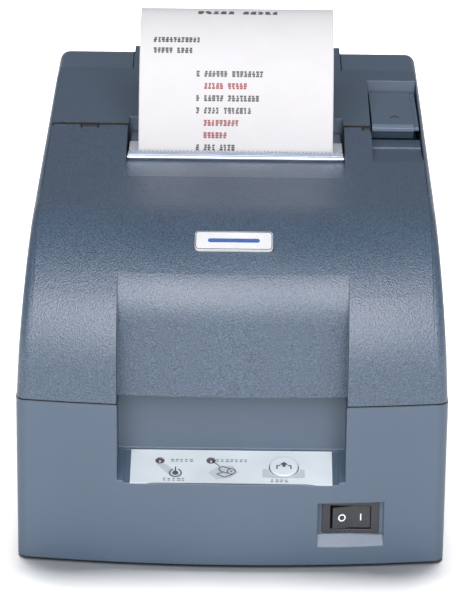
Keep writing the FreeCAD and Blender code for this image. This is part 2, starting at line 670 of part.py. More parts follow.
def cover_lever():
    """Flap that is lifted at its front edge to let the roll cover go."""
    x1 = LID_HALF_WIDTH - 2.4
    body = prism_x([
        (LEVER_FRONT_Y + 2.6, 125.8),
        (LEVER_FRONT_Y + 0.2, 129.2),
        (LEVER_FRONT_Y - 0.6, 129.6),
        (LEVER_FRONT_Y - 0.6, 131.0),
        (LEVER_FRONT_Y + 0.8, 132.2),
        (LEVER_REAR_Y - 0.5, 131.4),
        (LEVER_REAR_Y - 0.5, 127.0),
        (LEVER_REAR_Y - 2, 124.2),
        (LEVER_AXIS_Y - 3, 124.2),
        (LEVER_AXIS_Y - 6, 126.6),
        (LEVER_FRONT_Y + 8, 125.8),
    ], LEVER_X0, x1)
    lip = box(x1 - 1, LEVER_X1, LEVER_FRONT_Y, LEVER_REAR_Y - 1.5, 129.8, 131.2)
    hollow = box(LEVER_X0 + 1.8, x1 - 1.8, LEVER_FRONT_Y + 4.4, LEVER_AXIS_Y - 5, 120, 129.6)
    hook_arm = box(60, 66, LEVER_AXIS_Y - 4, LEVER_AXIS_Y - 1.5, 106, 126)
    tooth = box(60, 66, LEVER_AXIS_Y - 4, LEVER_AXIS_Y + 0.2, 105, 107)
    lever = union(body.cut(hollow), lip, hook_arm, tooth)
    return lever.cut(rod_x(LEVER_X0 - 1, x1 + 2, LEVER_AXIS_Y, LEVER_AXIS_Z, LEVER_PIN_R))


def lever_pin():
    return rod_x(WELL_X0, LID_HALF_WIDTH, LEVER_AXIS_Y, LEVER_AXIS_Z, LEVER_PIN_R)


def latch_catch():
    """Bar under the tooth's edge, screwed to the right rail."""
    bar = box(58, 76, LEVER_AXIS_Y + 1.0, LEVER_AXIS_Y + 4.5, 108, 110)
    flange = box(73.0, 76, LEVER_AXIS_Y - 4, LEVER_AXIS_Y + 9, 100, 110)
    return union(bar, flange).common(rear_form(SHOULDER_WIDTHS, WALL, RAIL_DROP, SIDE_SPLIT_Y, REAR))


# ---------------------------------------------------------------- control shelf
def control_label():
    plate = box(-37.6, 37.6, 1.0, 19.5, -0.8, -0.2)
    plate = plate.cut(rod_z(-2, 2, BUTTON_X, BUTTON_U, BUTTON_R + 0.3))
    for x, u in LED_PLACES:
        plate = plate.cut(rod_z(-2, 2, x, u, LED_R + 0.05))
    return on_shelf(plate)


def feed_button():
    cap = union(
        rod_z(-5.2, 0.7, BUTTON_X, BUTTON_U, BUTTON_R),
        rod_z(-5.2, -4.2, BUTTON_X, BUTTON_U, BUTTON_R + 1.2),
    )
    rim = [edge for edge in cap.Edges if edge.BoundBox.ZMin > 0.6]
    return on_shelf(cap.makeFillet(0.4, rim))


def indicator(place):
    x, u = place
    dome = Part.makeSphere(LED_R, V(x, u, -0.9)).common(box(x - 3, x + 3, u - 3, u + 3, -1, 3))
    stem = rod_z(-7.4, -0.9, x, u, LED_R)
    return on_shelf(union(stem, dome))


def control_board():
    board = box(-30, 30, 1.5, 19, -9.0, -7.4)
    return on_shelf(board)


def feed_switch():
    body = box(BUTTON_X - 3, BUTTON_X + 3, BUTTON_U - 3, BUTTON_U + 3, -7.4, -6.6)
    plunger = rod_z(-6.7, -6.1, BUTTON_X, BUTTON_U, 1.6)
    return on_shelf(union(body, plunger))


def switch_body():
    x0 = SWITCH_X - SWITCH_HALF_X
    x1 = SWITCH_X + SWITCH_HALF_X
    shell = box(x0, x1, -119.6, -100, SWITCH_Z0, SWITCH_Z1)
    cavity = box(SWITCH_X - 7.6, SWITCH_X + 7.6, -121, -109, SWITCH_Z0 + 1.5, SWITCH_Z1 - 1.3)
    pivot = rod_z(SWITCH_Z0 + 0.6, SWITCH_Z1 - 0.5, SWITCH_X, ROCKER_PIVOT_Y, ROCKER_PIN_R + RUN_CLEAR)
    tabs = [box(SWITCH_X + x - 0.4, SWITCH_X + x + 0.4, -100.5, -93, 16, 22) for x in (-6, 0, 6)]
    return union(shell.cut(cavity).cut(pivot), *tabs)


def power_rocker():
    """Rocks about an upright axis; one half lies flush and the other stands out."""
    half = 7.1
    rise = half * math.tan(math.radians(ROCKER_TILT_DEG))
    points = [
        (0, -1.6),
        (half, -1.6 - rise),
        (half, 1.0),
        (4.0, 4.6),
        (-4.0, 4.6),
        (-half, 1.0),
        (-half, -1.6 - rise),
    ]
    steps = [(point,) for point in points[1:]]
    face = outline(points[0], steps, lambda x, y: V(x, y, SWITCH_Z0 + 1.9))
    body = face.extrude(V(0, 0, SWITCH_Z1 - SWITCH_Z0 - 3.6))
    body.rotate(V(0, 0, 0), V(0, 0, 1), ROCKER_TILT_DEG)
    body.translate(V(SWITCH_X, ROCKER_PIVOT_Y, 0))
    pivot = rod_z(SWITCH_Z0 + 0.8, SWITCH_Z1 - 0.7, SWITCH_X, ROCKER_PIVOT_Y, ROCKER_PIN_R)
    return union(body, pivot)


# ---------------------------------------------------------------- paper and its path
def crossing_tangent(low, low_r, high, high_r):
    """Points where a tape passes under the low circle and then over the front of the high one."""
    along = (high[0] - low[0], high[1] - low[1])
    distance = math.hypot(along[0], along[1])
    direction = math.degrees(math.atan2(along[1], along[0]))
    swing = math.degrees(math.acos((low_r + high_r) / distance))
    return polar(low, low_r, direction - swing), polar(high, -high_r, direction - swing), direction - swing


def paper_web():
    """Paper from the roll, down round the guide bar and up between the rollers."""
    guide = (PAPER_Y + FEED_R + PAPER_THICK + ROLLER_GAP, GUIDE_Z)
    inner_r = FEED_R + ROLLER_GAP
    outer_r = inner_r + PAPER_THICK
    roll_r = ROLL_R + 0.1
    low_in, high_in, turn = crossing_tangent(guide, inner_r, (ROLL_Y, ROLL_Z), roll_r + PAPER_THICK)
    low_out, high_out, turn = crossing_tangent(guide, outer_r, (ROLL_Y, ROLL_Z), roll_r)
    middle = (turn + 180) / 2 - 180
    rise = PAPER_BEND_Z
    steps = [
        ((guide[0] - outer_r, GUIDE_Z),),
        (polar(guide, outer_r, middle), low_out),
        (high_out,),
        (high_in,),
        (low_in,),
        (polar(guide, inner_r, middle), (guide[0] - inner_r, GUIDE_Z)),
        ((guide[0] - inner_r, rise),),
    ]
    face = outline((guide[0] - outer_r, rise), steps, lambda y, z: V(-PAPER_HALF, y, z))
    return face.extrude(V(2 * PAPER_HALF, 0, 0))


def receipt():
    """Free end of the paper: leans back, then curls over in two ever tighter bends."""
    outer_arcs = []
    inner_arcs = []
    centre = (PAPER_Y + RECEIPT_BENDS[0][0], PAPER_BEND_Z)
    direction = 180.0
    for radius, turn in RECEIPT_BENDS:
        if outer_arcs:
            centre = polar(outer_arcs[-1][1], -radius, direction)
        middle = direction - turn / 2
        end = direction - turn
        outer_arcs.append((polar(centre, radius, middle), polar(centre, radius, end)))
        inner = radius - PAPER_THICK
        inner_arcs.append((polar(centre, inner, middle), polar(centre, inner, direction)))
        tip = polar(centre, inner, end)
        direction = end
    steps = outer_arcs + [(tip,)] + inner_arcs[::-1]
    face = outline((PAPER_Y, PAPER_BEND_Z), steps, lambda y, z: V(-PAPER_HALF, y, z))
    return face.extrude(V(2 * PAPER_HALF, 0, 0))


def paper_roll():
    return rod_x(-PAPER_HALF, PAPER_HALF, ROLL_Y, ROLL_Z, ROLL_R).cut(
        rod_x(-PAPER_HALF - 1, PAPER_HALF + 1, ROLL_Y, ROLL_Z, 8.5))


def roll_core():
    return rod_x(-PAPER_HALF, PAPER_HALF, ROLL_Y, ROLL_Z, 8.5).cut(
        rod_x(-PAPER_HALF - 1, PAPER_HALF + 1, ROLL_Y, ROLL_Z, 6.5))


def roll_bucket():
    """Trough that the roll lies in, with a cheek at each end."""
    half = PAPER_HALF + 1.5
    centre = (ROLL_Y, BUCKET_Z)
    lip_deg = 202.0
    outer = BUCKET_R + 2
    lip_outer = polar(centre, outer, lip_deg)
    lip_inner = polar(centre, BUCKET_R, lip_deg)
    bottom = polar(centre, outer, 281)
    bottom_in = polar(centre, BUCKET_R, 281)
    steps = [
        (bottom, polar(centre, outer, 360)),
        (polar(centre, BUCKET_R, 360),),
        (bottom_in, lip_inner),
    ]
    face = outline(lip_outer, steps, lambda y, z: V(-half - 2, y, z))
    trough = face.extrude(V(2 * half + 4, 0, 0))
    disc = rod_x(half, half + 2, centre[0], centre[1], outer)
    cheek = disc.common(box(half - 1, half + 3, ROLL_Y - 37, REAR, 40, 106))
    foot = box(-half, half, ROLL_Y - 14, ROLL_Y + 14, 46, BUCKET_Z - BUCKET_R - 0.5)
    feet = box(-half, -half + 4, ROLL_Y - 14, ROLL_Y + 14, 22, 48)
    return union(trough, cheek, mirrored(cheek), foot, feet, mirrored(feet))


def paper_guide_bar():
    return rod_x(-SIDE_PLATE_X + PLATE, SIDE_PLATE_X - PLATE, FEED_Y, GUIDE_Z, FEED_R)


def paper_exit_guide():
    """Moulded lead-in that turns the paper up to the slot."""
    points = [
        (-14.6, 112),
        (-14.6, 121),
        (-12.4, 125.6),
        (-10, 126.6),
        (2.6, 126.6),
        (2.6, 124.4),
        (-9, 124.4),
        (-12.2, 121),
        (-12.2, 112),
    ]
    return prism_x(points, -42.0, 42.0)


def guide_plate():
    return union(
        box(-41.6, 41.6, 2.8, 15.4, 125.6, 126.4),
        box(-41.6, 41.6, 2.8, 3.6, 114, 126.4),
    )


# ---------------------------------------------------------------- mechanism
def chassis():
    """Folded sheet base with two upright side plates."""
    base = box(-SIDE_PLATE_X, SIDE_PLATE_X, -66, 20, 34.5, 36)
    points = [
        (-66, 34.5),
        (-66, 92),
        (-52, 107),
        (-30, 107),
        (-24, 112),
        (14, 112),
        (36, 62),
        (36, 40),
        (20, 34.5),
    ]
    side = prism_x(points, SIDE_PLATE_X - PLATE, SIDE_PLATE_X)
    frame = union(base, side, mirrored(side))
    for x, y in POST_PLACES:
        frame = frame.cut(rod_z(30, 40, x, y, 1.6))
    idler_stud = rod_x(-66.5, -SIDE_PLATE_X + PLATE, IDLER_PLACE[0], IDLER_PLACE[1], 1.5)
    frame = frame.cut(rod_x(-90, 90, SHAFT_Y, SHAFT_Z, SHAFT_R))
    frame = frame.cut(rod_x(-90, 90, FEED_Y, FEED_Z, FEED_SHAFT_R + RUN_CLEAR))
    frame = frame.cut(rod_x(-90, 90, PINCH_Y, FEED_Z, 1.5 + RUN_CLEAR))
    frame = frame.cut(rod_x(-90, 0, PINION_PLACE[0], PINION_PLACE[1], 4.2))
    frame = frame.cut(box(-30, 30, -30, -4, 30, 37))
    return union(frame, idler_stud)


FEED_PITCH_R = GEAR_MODULE * FEED_TEETH / 2
IDLER_PITCH_R = GEAR_MODULE * IDLER_TEETH / 2
PINION_PITCH_R = GEAR_MODULE * PINION_TEETH / 2
IDLER_PLACE = (FEED_Y + FEED_PITCH_R + IDLER_PITCH_R, FEED_Z)
PINION_DIRECTION = -60.0
PINION_PLACE = polar(IDLER_PLACE, IDLER_PITCH_R + PINION_PITCH_R, PINION_DIRECTION)


def chassis_screws():
    screws = []
    for x, y in POST_PLACES:
        screws.append(union(rod_z(36.0, 38.0, x, y, 2.8), rod_z(25.0, 36.1, x, y, 1.35)))
    return group(*screws)


def gear(teeth, place, first_tooth_deg, bore):
    """Spur gear across X; first_tooth_deg is the direction of one tooth, seen along -X."""
    pitch_r = GEAR_MODULE * teeth / 2
    step = 360.0 / teeth
    root_r = pitch_r - 1.25 * GEAR_MODULE
    tip_r = pitch_r + 0.85 * GEAR_MODULE
    points = []
    for tooth in range(teeth):
        middle = first_tooth_deg + tooth * step
        points.append(polar(place, root_r, middle - 0.30 * step))
        points.append(polar(place, tip_r, middle - 0.11 * step))
        points.append(polar(place, tip_r, middle + 0.11 * step))
        points.append(polar(place, root_r, middle + 0.30 * step))
    return prism_x(points, GEAR_X0, GEAR_X1).cut(rod_x(GEAR_X0 - 1, GEAR_X1 + 1, place[0], place[1], bore))


def gear_phases():
    """Tooth directions that put the three gears in mesh."""
    idler = 180 + 180 / IDLER_TEETH
    pitch = 360 / IDLER_TEETH
    offset = (idler - PINION_DIRECTION) % pitch
    pinion = PINION_DIRECTION + 180 - offset * IDLER_TEETH / PINION_TEETH + 180 / PINION_TEETH
    return 0.0, idler, pinion


def feed_roller():
    sleeves = []
    for x in (-ROLLER_X, ROLLER_X):
        sleeve = rod_x(x - 9, x + 9, FEED_Y, FEED_Z, FEED_R)
        sleeves.append(sleeve.cut(rod_x(x - 10, x + 10, FEED_Y, FEED_Z, FEED_SHAFT_R)))
    return group(*sleeves)


def feed_shaft():
    return rod_x(GEAR_X0, SIDE_PLATE_X + 2, FEED_Y, FEED_Z, FEED_SHAFT_R)


def pinch_roller():
    shaft = rod_x(-SIDE_PLATE_X - 1, SIDE_PLATE_X + 1, PINCH_Y, FEED_Z, 1.5)
    sleeves = [rod_x(x - 8, x + 8, PINCH_Y, FEED_Z, PINCH_R) for x in (-ROLLER_X, ROLLER_X)]
    return union(shaft, *sleeves)


def feed_motor():
    y, z = PINION_PLACE
    can = rod_x(-SIDE_PLATE_X + PLATE, -41, y, z, 12)
    collar = rod_x(-SIDE_PLATE_X - 0.4, -SIDE_PLATE_X + PLATE + 0.1, y, z, 4.2)
    ears = box(-SIDE_PLATE_X + PLATE, -SIDE_PLATE_X + PLATE + 1, y - 19, y + 19, z - 4, z + 4)
    return union(can, collar, ears).cut(rod_x(-66, -50, y, z, 1.5 + RUN_CLEAR))


def motor_pinion(first_tooth_deg):
    y, z = PINION_PLACE
    return union(gear(PINION_TEETH, PINION_PLACE, first_tooth_deg, 1.4), rod_x(-66, -51, y, z, 1.5))


def platen():
    """Hard bar that the pins strike against, behind the paper."""
    front = PAPER_Y + PAPER_THICK + 0.2
    bar = box(-43, 43, front, front + 7, 92, 106)
    ends = box(-SIDE_PLATE_X + PLATE, SIDE_PLATE_X - PLATE, front + 2, front + 5, 94, 104)
    return union(bar, ends)


def carriage_shaft():
    return rod_x(-SIDE_PLATE_X - 1.5, SIDE_PLATE_X + 1.5, SHAFT_Y, SHAFT_Z, SHAFT_R)


def guide_rail():
    upright = box(-SIDE_PLATE_X + PLATE, SIDE_PLATE_X - PLATE, -27.6, -26.4, 66, 74)
    foot = box(-SIDE_PLATE_X + PLATE, SIDE_PLATE_X - PLATE, -30.4, -26.4, 64.8, 66)
    return union(upright, foot)


def carriage():
    saddle = box(-20, 20, SHAFT_Y - 7, SHAFT_Y + 14, 70.5, 86)
    tail = box(-14, 14, SHAFT_Y + 12, -24.4, 74.4, 80)
    fork = box(-14, 14, -26.0, -24.4, 70.5, 76)
    clamp = box(-8, 8, PULLEY_Y + PULLEY_R + 1.4, SHAFT_Y - 6, 70.5, 78.5)
    body = union(saddle, tail, fork, clamp)
    return body.cut(rod_x(-30, 30, SHAFT_Y, SHAFT_Z, SHAFT_R + RUN_CLEAR))


def print_head():
    core = box(-13, 13, SHAFT_Y - 8, SHAFT_Y + 18, 86, 104)
    fins = []
    for fin in range(6):
        y = SHAFT_Y - 8 + fin * 3.4
        fins.append(box(-13.6, 13.6, y, y + 1.6, 87, 106.5))
    nose = box(-4.5, 4.5, SHAFT_Y + 17, PAPER_Y - 3.7, 94, 103)
    return union(core, nose, *fins)


def pulley(x):
    wheel = rod_z(BELT_Z0 - 1, BELT_Z1 + 1, x, PULLEY_Y, PULLEY_R - 0.1)
    teeth = []
    for step in range(16):
        tooth_x, tooth_y = polar((x, PULLEY_Y), PULLEY_R - 0.5, 22.5 * step)
        teeth.append(rod_z(BELT_Z0, BELT_Z1, tooth_x, tooth_y, 0.35))
    flange = rod_z(BELT_Z1 + 0.6, BELT_Z1 + 1.6, x, PULLEY_Y, PULLEY_R + 1.0)
    return union(wheel.cut(group(*teeth)), flange)


def drive_belt():
    def loop(radius, z0, z1):
        ends = [rod_z(z0, z1, x, PULLEY_Y, radius) for x in (-PULLEY_X, PULLEY_X)]
        return union(box(-PULLEY_X, PULLEY_X, PULLEY_Y - radius, PULLEY_Y + radius, z0, z1), *ends)
    return loop(PULLEY_R + 1.0, BELT_Z0, BELT_Z1).cut(loop(PULLEY_R, BELT_Z0 - 1, BELT_Z1 + 1))


def carriage_motor():
    return union(
        rod_z(42, 66, -PULLEY_X, PULLEY_Y, 5.2),
        box(-PULLEY_X - 8.5, -PULLEY_X + 12, PULLEY_Y - 11, PULLEY_Y + 9, 40, 64),
    ).cut(rod_z(30, 70, -PULLEY_X, PULLEY_Y, 1.5 + RUN_CLEAR))


def motor_pulley():
    return union(pulley(-PULLEY_X), rod_z(44, BELT_Z0, -PULLEY_X, PULLEY_Y, 1.5))


def idler_pulley():
    return pulley(PULLEY_X).cut(rod_z(60, 90, PULLEY_X, PULLEY_Y, 1.5))


def idler_post():
    post = rod_z(36, 70.6, PULLEY_X, PULLEY_Y, 2.4)
    return union(post, rod_z(70, 80, PULLEY_X, PULLEY_Y, 1.5 - RUN_CLEAR))


def belt_shelf():
    """Bracket that holds the motor at the left and the idler post at the right."""
    plate = box(-SIDE_PLATE_X, SIDE_PLATE_X, -74.5, -66, 34.5, 36)
    lip = box(-SIDE_PLATE_X, SIDE_PLATE_X, -74.5, -73.3, 34.5, 58)
    return union(plate, lip)


def ribbon_cassette():
    """Flat ribbon box with two arms that hold the ribbon in front of the platen."""
    shell = box(-63, 63, -77, -30, 110, 120.6)
    arms = []
    for side in (-1, 1):
        x0 = min(side * 46, side * 57)
        arms.append(box(x0, x0 + 11, -36, -18.6, 90, 118))
    body = union(shell, *arms)
    upright = [edge for edge in body.Edges if edge.BoundBox.ZLength > 8 and edge.BoundBox.XLength < 0.1
               and edge.BoundBox.YMax < -70]
    body = body.makeFillet(5.0, upright)
    body = body.cut(rod_z(KNOB_Z0 - 0.6, 130, KNOB_X, KNOB_Y, 9.2))
    body = body.cut(rod_z(100, 130, KNOB_X, KNOB_Y, 3.0 + RUN_CLEAR))
    for side in (-1, 1):
        x0 = min(side * 45.8, side * 57.2)
        body = body.cut(box(x0, x0 + 11.4, -19.8, -19.1, 95.5, 109.5))
    return body


def ribbon():
    return box(-57.0, 57.0, -19.6, -19.3, 96, 109)


def ribbon_knob():
    """Knob that winds the ribbon tight, with finger grips round its rim and a slot in its top."""
    knob = rod_z(KNOB_Z0, KNOB_Z1, KNOB_X, KNOB_Y, 8.8)
    grips = []
    for step in range(12):
        x, y = polar((KNOB_X, KNOB_Y), 9.0, 30.0 * step)
        grips.append(rod_z(KNOB_Z0 - 1, KNOB_Z1 + 1, x, y, 1.2))
    slot = box(KNOB_X - 6, KNOB_X + 6, KNOB_Y - 0.9, KNOB_Y + 0.9, KNOB_Z1 - 1, KNOB_Z1 + 1)
    stem = rod_z(104, KNOB_Z0 + 1, KNOB_X, KNOB_Y, 3.0)
    return union(knob.cut(group(*grips)).cut(slot), stem)


# ---------------------------------------------------------------- electronics and rear panel
def main_board():
    return box(-46, 46, -50, 118, BOARD_Z, BOARD_TOP)


def board_spacers():
    return group(*[rod_z(FLOOR_TOP, BOARD_Z, x, y, 3) for x in (-41, 41) for y in (-44, 30, 106)])


def board_parts():
    cans = [rod_z(BOARD_TOP, 31, -30 + index * 13, 84, 5) for index in range(3)]
    chip_places = ((-36, -30), (-10, -20), (14, -34), (18, 20))
    socket_places = ((-40, 4), (-14, 6), (16, 56))
    chips = [box(x, x + 16, y, y + 16, BOARD_TOP, 16) for x, y in chip_places]
    sockets = [box(x, x + 18, y, y + 6, BOARD_TOP, 22) for x, y in socket_places]
    return group(*cans, *chips, *sockets)


def interface_panel():
    half = PANEL_HALF + 2
    plate = box(-half, half, REAR - WALL - 1.2, REAR - WALL, PANEL_Z0 - 2, PANEL_Z1 + 2)
    plate = plate.cut(box(POWER_X - 9, POWER_X + 9, 110, 130, 14.6, 33))
    plate = plate.cut(box(DRAWER_X - 8, DRAWER_X + 8, 110, 130, 13.6, 28))
    plate = plate.cut(box(DATA_X - 20, DATA_X + 20, 110, 130, 15, 27))
    for x in (-DATA_POST_X, DATA_POST_X):
        plate = plate.cut(rod_y(110, 130, DATA_X + x, DATA_POST_Z, 2.4))
    return plate


def power_inlet():
    block = box(POWER_X - 9, POWER_X + 9, 104, REAR - WALL, 14.6, 33)
    block = block.cut(rod_y(110, 130, POWER_X, POWER_Z, POWER_R))
    pins = []
    for angle in (30, 150, 270):
        x, z = polar((POWER_X, POWER_Z), 2.6, angle)
        pins.append(rod_y(109, 118, x, z, 0.6))
    return union(block, *pins)


def drawer_jack():
    block = box(DRAWER_X - 8, DRAWER_X + 8, 105, REAR - WALL, 13.6, 28)
    block = block.cut(box(DRAWER_X - 5.9, DRAWER_X + 5.9, 109, 130, 16.0, 25.6))
    return block.cut(box(DRAWER_X - 2.2, DRAWER_X + 2.2, 109, 130, 14.6, 17))


def data_connector():
    block = box(DATA_X - 20, DATA_X + 20, 106, REAR - WALL - 1.2, 15, 27)
    points = [(-19.2, 25.2), (19.2, 25.2), (17.6, 16.8), (-17.6, 16.8)]
    steps = [((x + DATA_X, z),) for x, z in points[1:]]
    place = lambda x, z: V(x, REAR - WALL - 2, z)
    shell = outline((points[0][0] + DATA_X, points[0][1]), steps, place).extrude(V(0, 4.4, 0))
    holes = []
    for row, count, z in ((0, 13, 22.4), (1, 12, 19.6)):
        for index in range(count):
            x = DATA_X + (index - (count - 1) / 2) * 2.75
            holes.append(rod_y(REAR - WALL, REAR + 4, x, z, 0.6))
    posts = []
    for x in (-DATA_POST_X, DATA_POST_X):
        posts.append(rod_y(REAR - WALL - 2, REAR, DATA_X + x, DATA_POST_Z, 2.4))
    wings = box(DATA_X - 27, DATA_X + 27, REAR - WALL - 2.4, REAR - WALL - 1.2, 16.5, 25.5)
    return union(block, wings, shell, *posts).cut(group(*holes))


# ---------------------------------------------------------------- write every piece
feed_phase, idler_phase, pinion_phase = gear_phases()

PIECES = {
    "lower_case": lower_case(),
    "upper_case": upper_case(),
    "rubber_feet": rubber_feet(),
    "case_screws": case_screws(),
    "printer_cover": printer_cover(),
    "cover_hinge_pins": cover_hinge_pins(),
    "cover_hinge_brackets": cover_hinge_brackets(),
    "tear_bar": tear_bar(),
    "badge": badge(),
    "roll_cover": roll_cover(),
    "roll_cover_pins": roll_cover_pins(),
    "cover_lever": cover_lever(),
    "lever_pin": lever_pin(),
    "latch_catch": latch_catch(),
    "control_label": control_label(),
    "feed_button": feed_button(),
    "fault_light": indicator(LED_PLACES[0]),
    "paper_light": indicator(LED_PLACES[1]),
    "control_board": control_board(),
    "feed_switch": feed_switch(),
    "switch_body": switch_body(),
    "power_rocker": power_rocker(),
    "paper_web": paper_web(),
    "receipt": receipt(),
    "paper_roll": paper_roll(),
    "roll_core": roll_core(),
    "roll_bucket": roll_bucket(),
    "paper_guide_bar": paper_guide_bar(),
    "paper_exit_guide": paper_exit_guide(),
    "guide_plate": guide_plate(),
    "chassis": chassis(),
    "chassis_screws": chassis_screws(),
    "feed_gear": gear(FEED_TEETH, (FEED_Y, FEED_Z), feed_phase, 2.5),
    "idler_gear": gear(IDLER_TEETH, IDLER_PLACE, idler_phase, 1.5 + RUN_CLEAR),
    "motor_pinion": motor_pinion(pinion_phase),
    "feed_roller": feed_roller(),
    "feed_shaft": feed_shaft(),
    "pinch_roller": pinch_roller(),
    "feed_motor": feed_motor(),
    "platen": platen(),
    "carriage_shaft": carriage_shaft(),
    "guide_rail": guide_rail(),
    "carriage": carriage(),
    "print_head": print_head(),
    "motor_pulley": motor_pulley(),
    "idler_pulley": idler_pulley(),
    "idler_post": idler_post(),
    "drive_belt": drive_belt(),
    "carriage_motor": carriage_motor(),
    "belt_shelf": belt_shelf(),
    "ribbon_cassette": ribbon_cassette(),
    "ribbon": ribbon(),
    "ribbon_knob": ribbon_knob(),
    "main_board": main_board(),
    "board_spacers": board_spacers(),
    "board_parts": board_parts(),
    "interface_panel": interface_panel(),
    "power_inlet": power_inlet(),
    "drawer_jack": drawer_jack(),
    "data_connector": data_connector(),
}

for piece_name, piece_shape in PIECES.items():
    write(piece_name, piece_shape)
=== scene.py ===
import json
import math
import random

import bmesh
import bpy
from mathutils import Matrix, Vector


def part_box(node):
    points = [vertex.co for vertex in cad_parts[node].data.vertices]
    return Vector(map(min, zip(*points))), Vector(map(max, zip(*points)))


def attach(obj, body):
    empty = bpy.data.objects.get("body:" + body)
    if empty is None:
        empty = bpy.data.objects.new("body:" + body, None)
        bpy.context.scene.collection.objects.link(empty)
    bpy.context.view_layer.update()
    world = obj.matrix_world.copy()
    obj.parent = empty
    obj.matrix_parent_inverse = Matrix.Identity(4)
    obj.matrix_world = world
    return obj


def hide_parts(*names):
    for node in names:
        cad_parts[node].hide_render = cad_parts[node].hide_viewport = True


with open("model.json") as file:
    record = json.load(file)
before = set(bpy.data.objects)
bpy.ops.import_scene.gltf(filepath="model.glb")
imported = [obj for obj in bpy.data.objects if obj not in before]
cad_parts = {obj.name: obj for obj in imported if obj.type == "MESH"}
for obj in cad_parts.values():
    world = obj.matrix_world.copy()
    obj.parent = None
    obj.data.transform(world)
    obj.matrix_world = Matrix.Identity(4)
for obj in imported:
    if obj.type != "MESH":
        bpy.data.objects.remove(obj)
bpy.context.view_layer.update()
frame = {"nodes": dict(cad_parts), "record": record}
NODES = frame["nodes"]

MM = 0.001
PRINT_LIFT = 0.03 * MM                     # printing stands this far off its surface
TINT_LIFT = 0.5 * PRINT_LIFT               # a tint lies under the signs printed over it
DRAW = random.Random(7)


# ---------------------------------------------------------------- node helpers
class Graph:
    """A material's node tree, with short calls for what the finishes below are made of."""

    def __init__(self, name):
        self.material = bpy.data.materials.new(name)
        self.material.use_nodes = True
        self.tree = self.material.node_tree
        self.tree.nodes.clear()
        self.output = self.add("ShaderNodeOutputMaterial")
        self.shader = self.add("ShaderNodeBsdfPrincipled")
        self.tree.links.new(self.shader.outputs[0], self.output.inputs[0])
        self.place = self.add("ShaderNodeTexCoord").outputs["Object"]

    def add(self, kind, **settings):
        node = self.tree.nodes.new(kind)
        for key, value in settings.items():
            setattr(node, key, value)
        return node

    def set(self, **values):
        """Sets the shader's inputs, with _ for each space in their names."""
        for key, value in values.items():
            self.shader.inputs[key.replace("_", " ")].default_value = value

    def link(self, output, socket):
        self.tree.links.new(output, socket)

    def stretched(self, scale):
        """The object's coordinates, stretched: a long grain has a small number along its length."""
        mapping = self.add("ShaderNodeMapping")
        mapping.inputs["Scale"].default_value = scale
        self.link(self.place, mapping.inputs["Vector"])
        return mapping.outputs[0]

    def noise(self, size_mm, detail=2.0, rough=0.5, vector=None):
        node = self.add("ShaderNodeTexNoise")
        node.inputs["Scale"].default_value = 1.0 / (size_mm * MM)
        node.inputs["Detail"].default_value = detail
        node.inputs["Roughness"].default_value = rough
        self.link(vector or self.place, node.inputs["Vector"])
        return node.outputs["Fac"]

    def cells(self, size_mm, vector=None, feature="F1"):
        node = self.add("ShaderNodeTexVoronoi", feature=feature)
        node.inputs["Scale"].default_value = 1.0 / (size_mm * MM)
        self.link(vector or self.place, node.inputs["Vector"])
        return node.outputs["Distance"]

    def waves(self, size_mm, direction):
        """Straight bands, size_mm apart, across one axis."""
        node = self.add("ShaderNodeTexWave", bands_direction=direction)
        node.inputs["Scale"].default_value = 0.314 / (size_mm * MM)
        self.link(self.place, node.inputs["Vector"])
        return node.outputs["Fac"]

    def ramp(self, value, low, high, start=0.3, end=0.7):
        """Value from low to high as the input goes from start to end."""
        node = self.add("ShaderNodeMapRange")
        node.inputs["From Min"].default_value = start
        node.inputs["From Max"].default_value = end
        node.inputs["To Min"].default_value = low
        node.inputs["To Max"].default_value = high
        self.link(value, node.inputs["Value"])
        return node.outputs[0]

    def math(self, operation, a, b):
        node = self.add("ShaderNodeMath", operation=operation)
        for socket, value in zip(node.inputs, (a, b)):
            if isinstance(value, (int, float)):
                socket.default_value = value
            else:
                self.link(value, socket)
        return node.outputs[0]

    def mix(self, factor, a, b):
        node = self.add("ShaderNodeMix", data_type="RGBA")
        self.link(factor, node.inputs[0])
        for socket, value in zip((node.inputs[6], node.inputs[7]), (a, b)):
            if isinstance(value, tuple):
                socket.default_value = (*value, 1.0)
            else:
                self.link(value, socket)
        return node.outputs[2]

    def bump(self, height, distance_mm, strength, normal=None):
        node = self.add("ShaderNodeBump")
        node.inputs["Strength"].default_value = strength
        node.inputs["Distance"].default_value = distance_mm * MM
        self.link(height, node.inputs["Height"])
        if normal is not None:
            self.link(normal, node.inputs["Normal"])
        return node.outputs[0]

    def near(self, axis, place_mm, reach_mm):
        """1 close to one plane across an axis, 0 away from it."""
        split = self.add("ShaderNodeSeparateXYZ")
        self.link(self.place, split.inputs[0])
        offset = self.math("SUBTRACT", split.outputs[axis], place_mm * MM)
        away = self.math("ABSOLUTE", offset, 0.0)
        return self.ramp(away, 1.0, 0.0, 0.5 * reach_mm * MM, reach_mm * MM)

    def rounded(self, radius_mm):
        """A normal that rounds sharp edges, as a moulding tool or a tumbled edge does."""
        node = self.add("ShaderNodeBevel", samples=4)
        node.inputs["Radius"].default_value = radius_mm * MM
        return node.outputs[0]

    def edges(self, radius_mm):
        """From 0 on flat faces to about 1 at sharp edges."""
        geometry = self.add("ShaderNodeNewGeometry")
        dot = self.add("ShaderNodeVectorMath", operation="DOT_PRODUCT")
        self.link(self.rounded(radius_mm), dot.inputs[0])
        self.link(geometry.outputs["Normal"], dot.inputs[1])
        return self.ramp(dot.outputs["Value"], 1.0, 0.0, 0.75, 0.995)

    def finish(self, colour, roughness, normal=None):
        self.link(colour, self.shader.inputs["Base Color"])
        self.link(roughness, self.shader.inputs["Roughness"])
        if normal is not None:
            self.link(normal, self.shader.inputs["Normal"])
        return self.material


def shade(colour, factor):
    """The same colour, darker or lighter by a factor."""
    return tuple(min(1.0, channel * factor) for channel in colour)


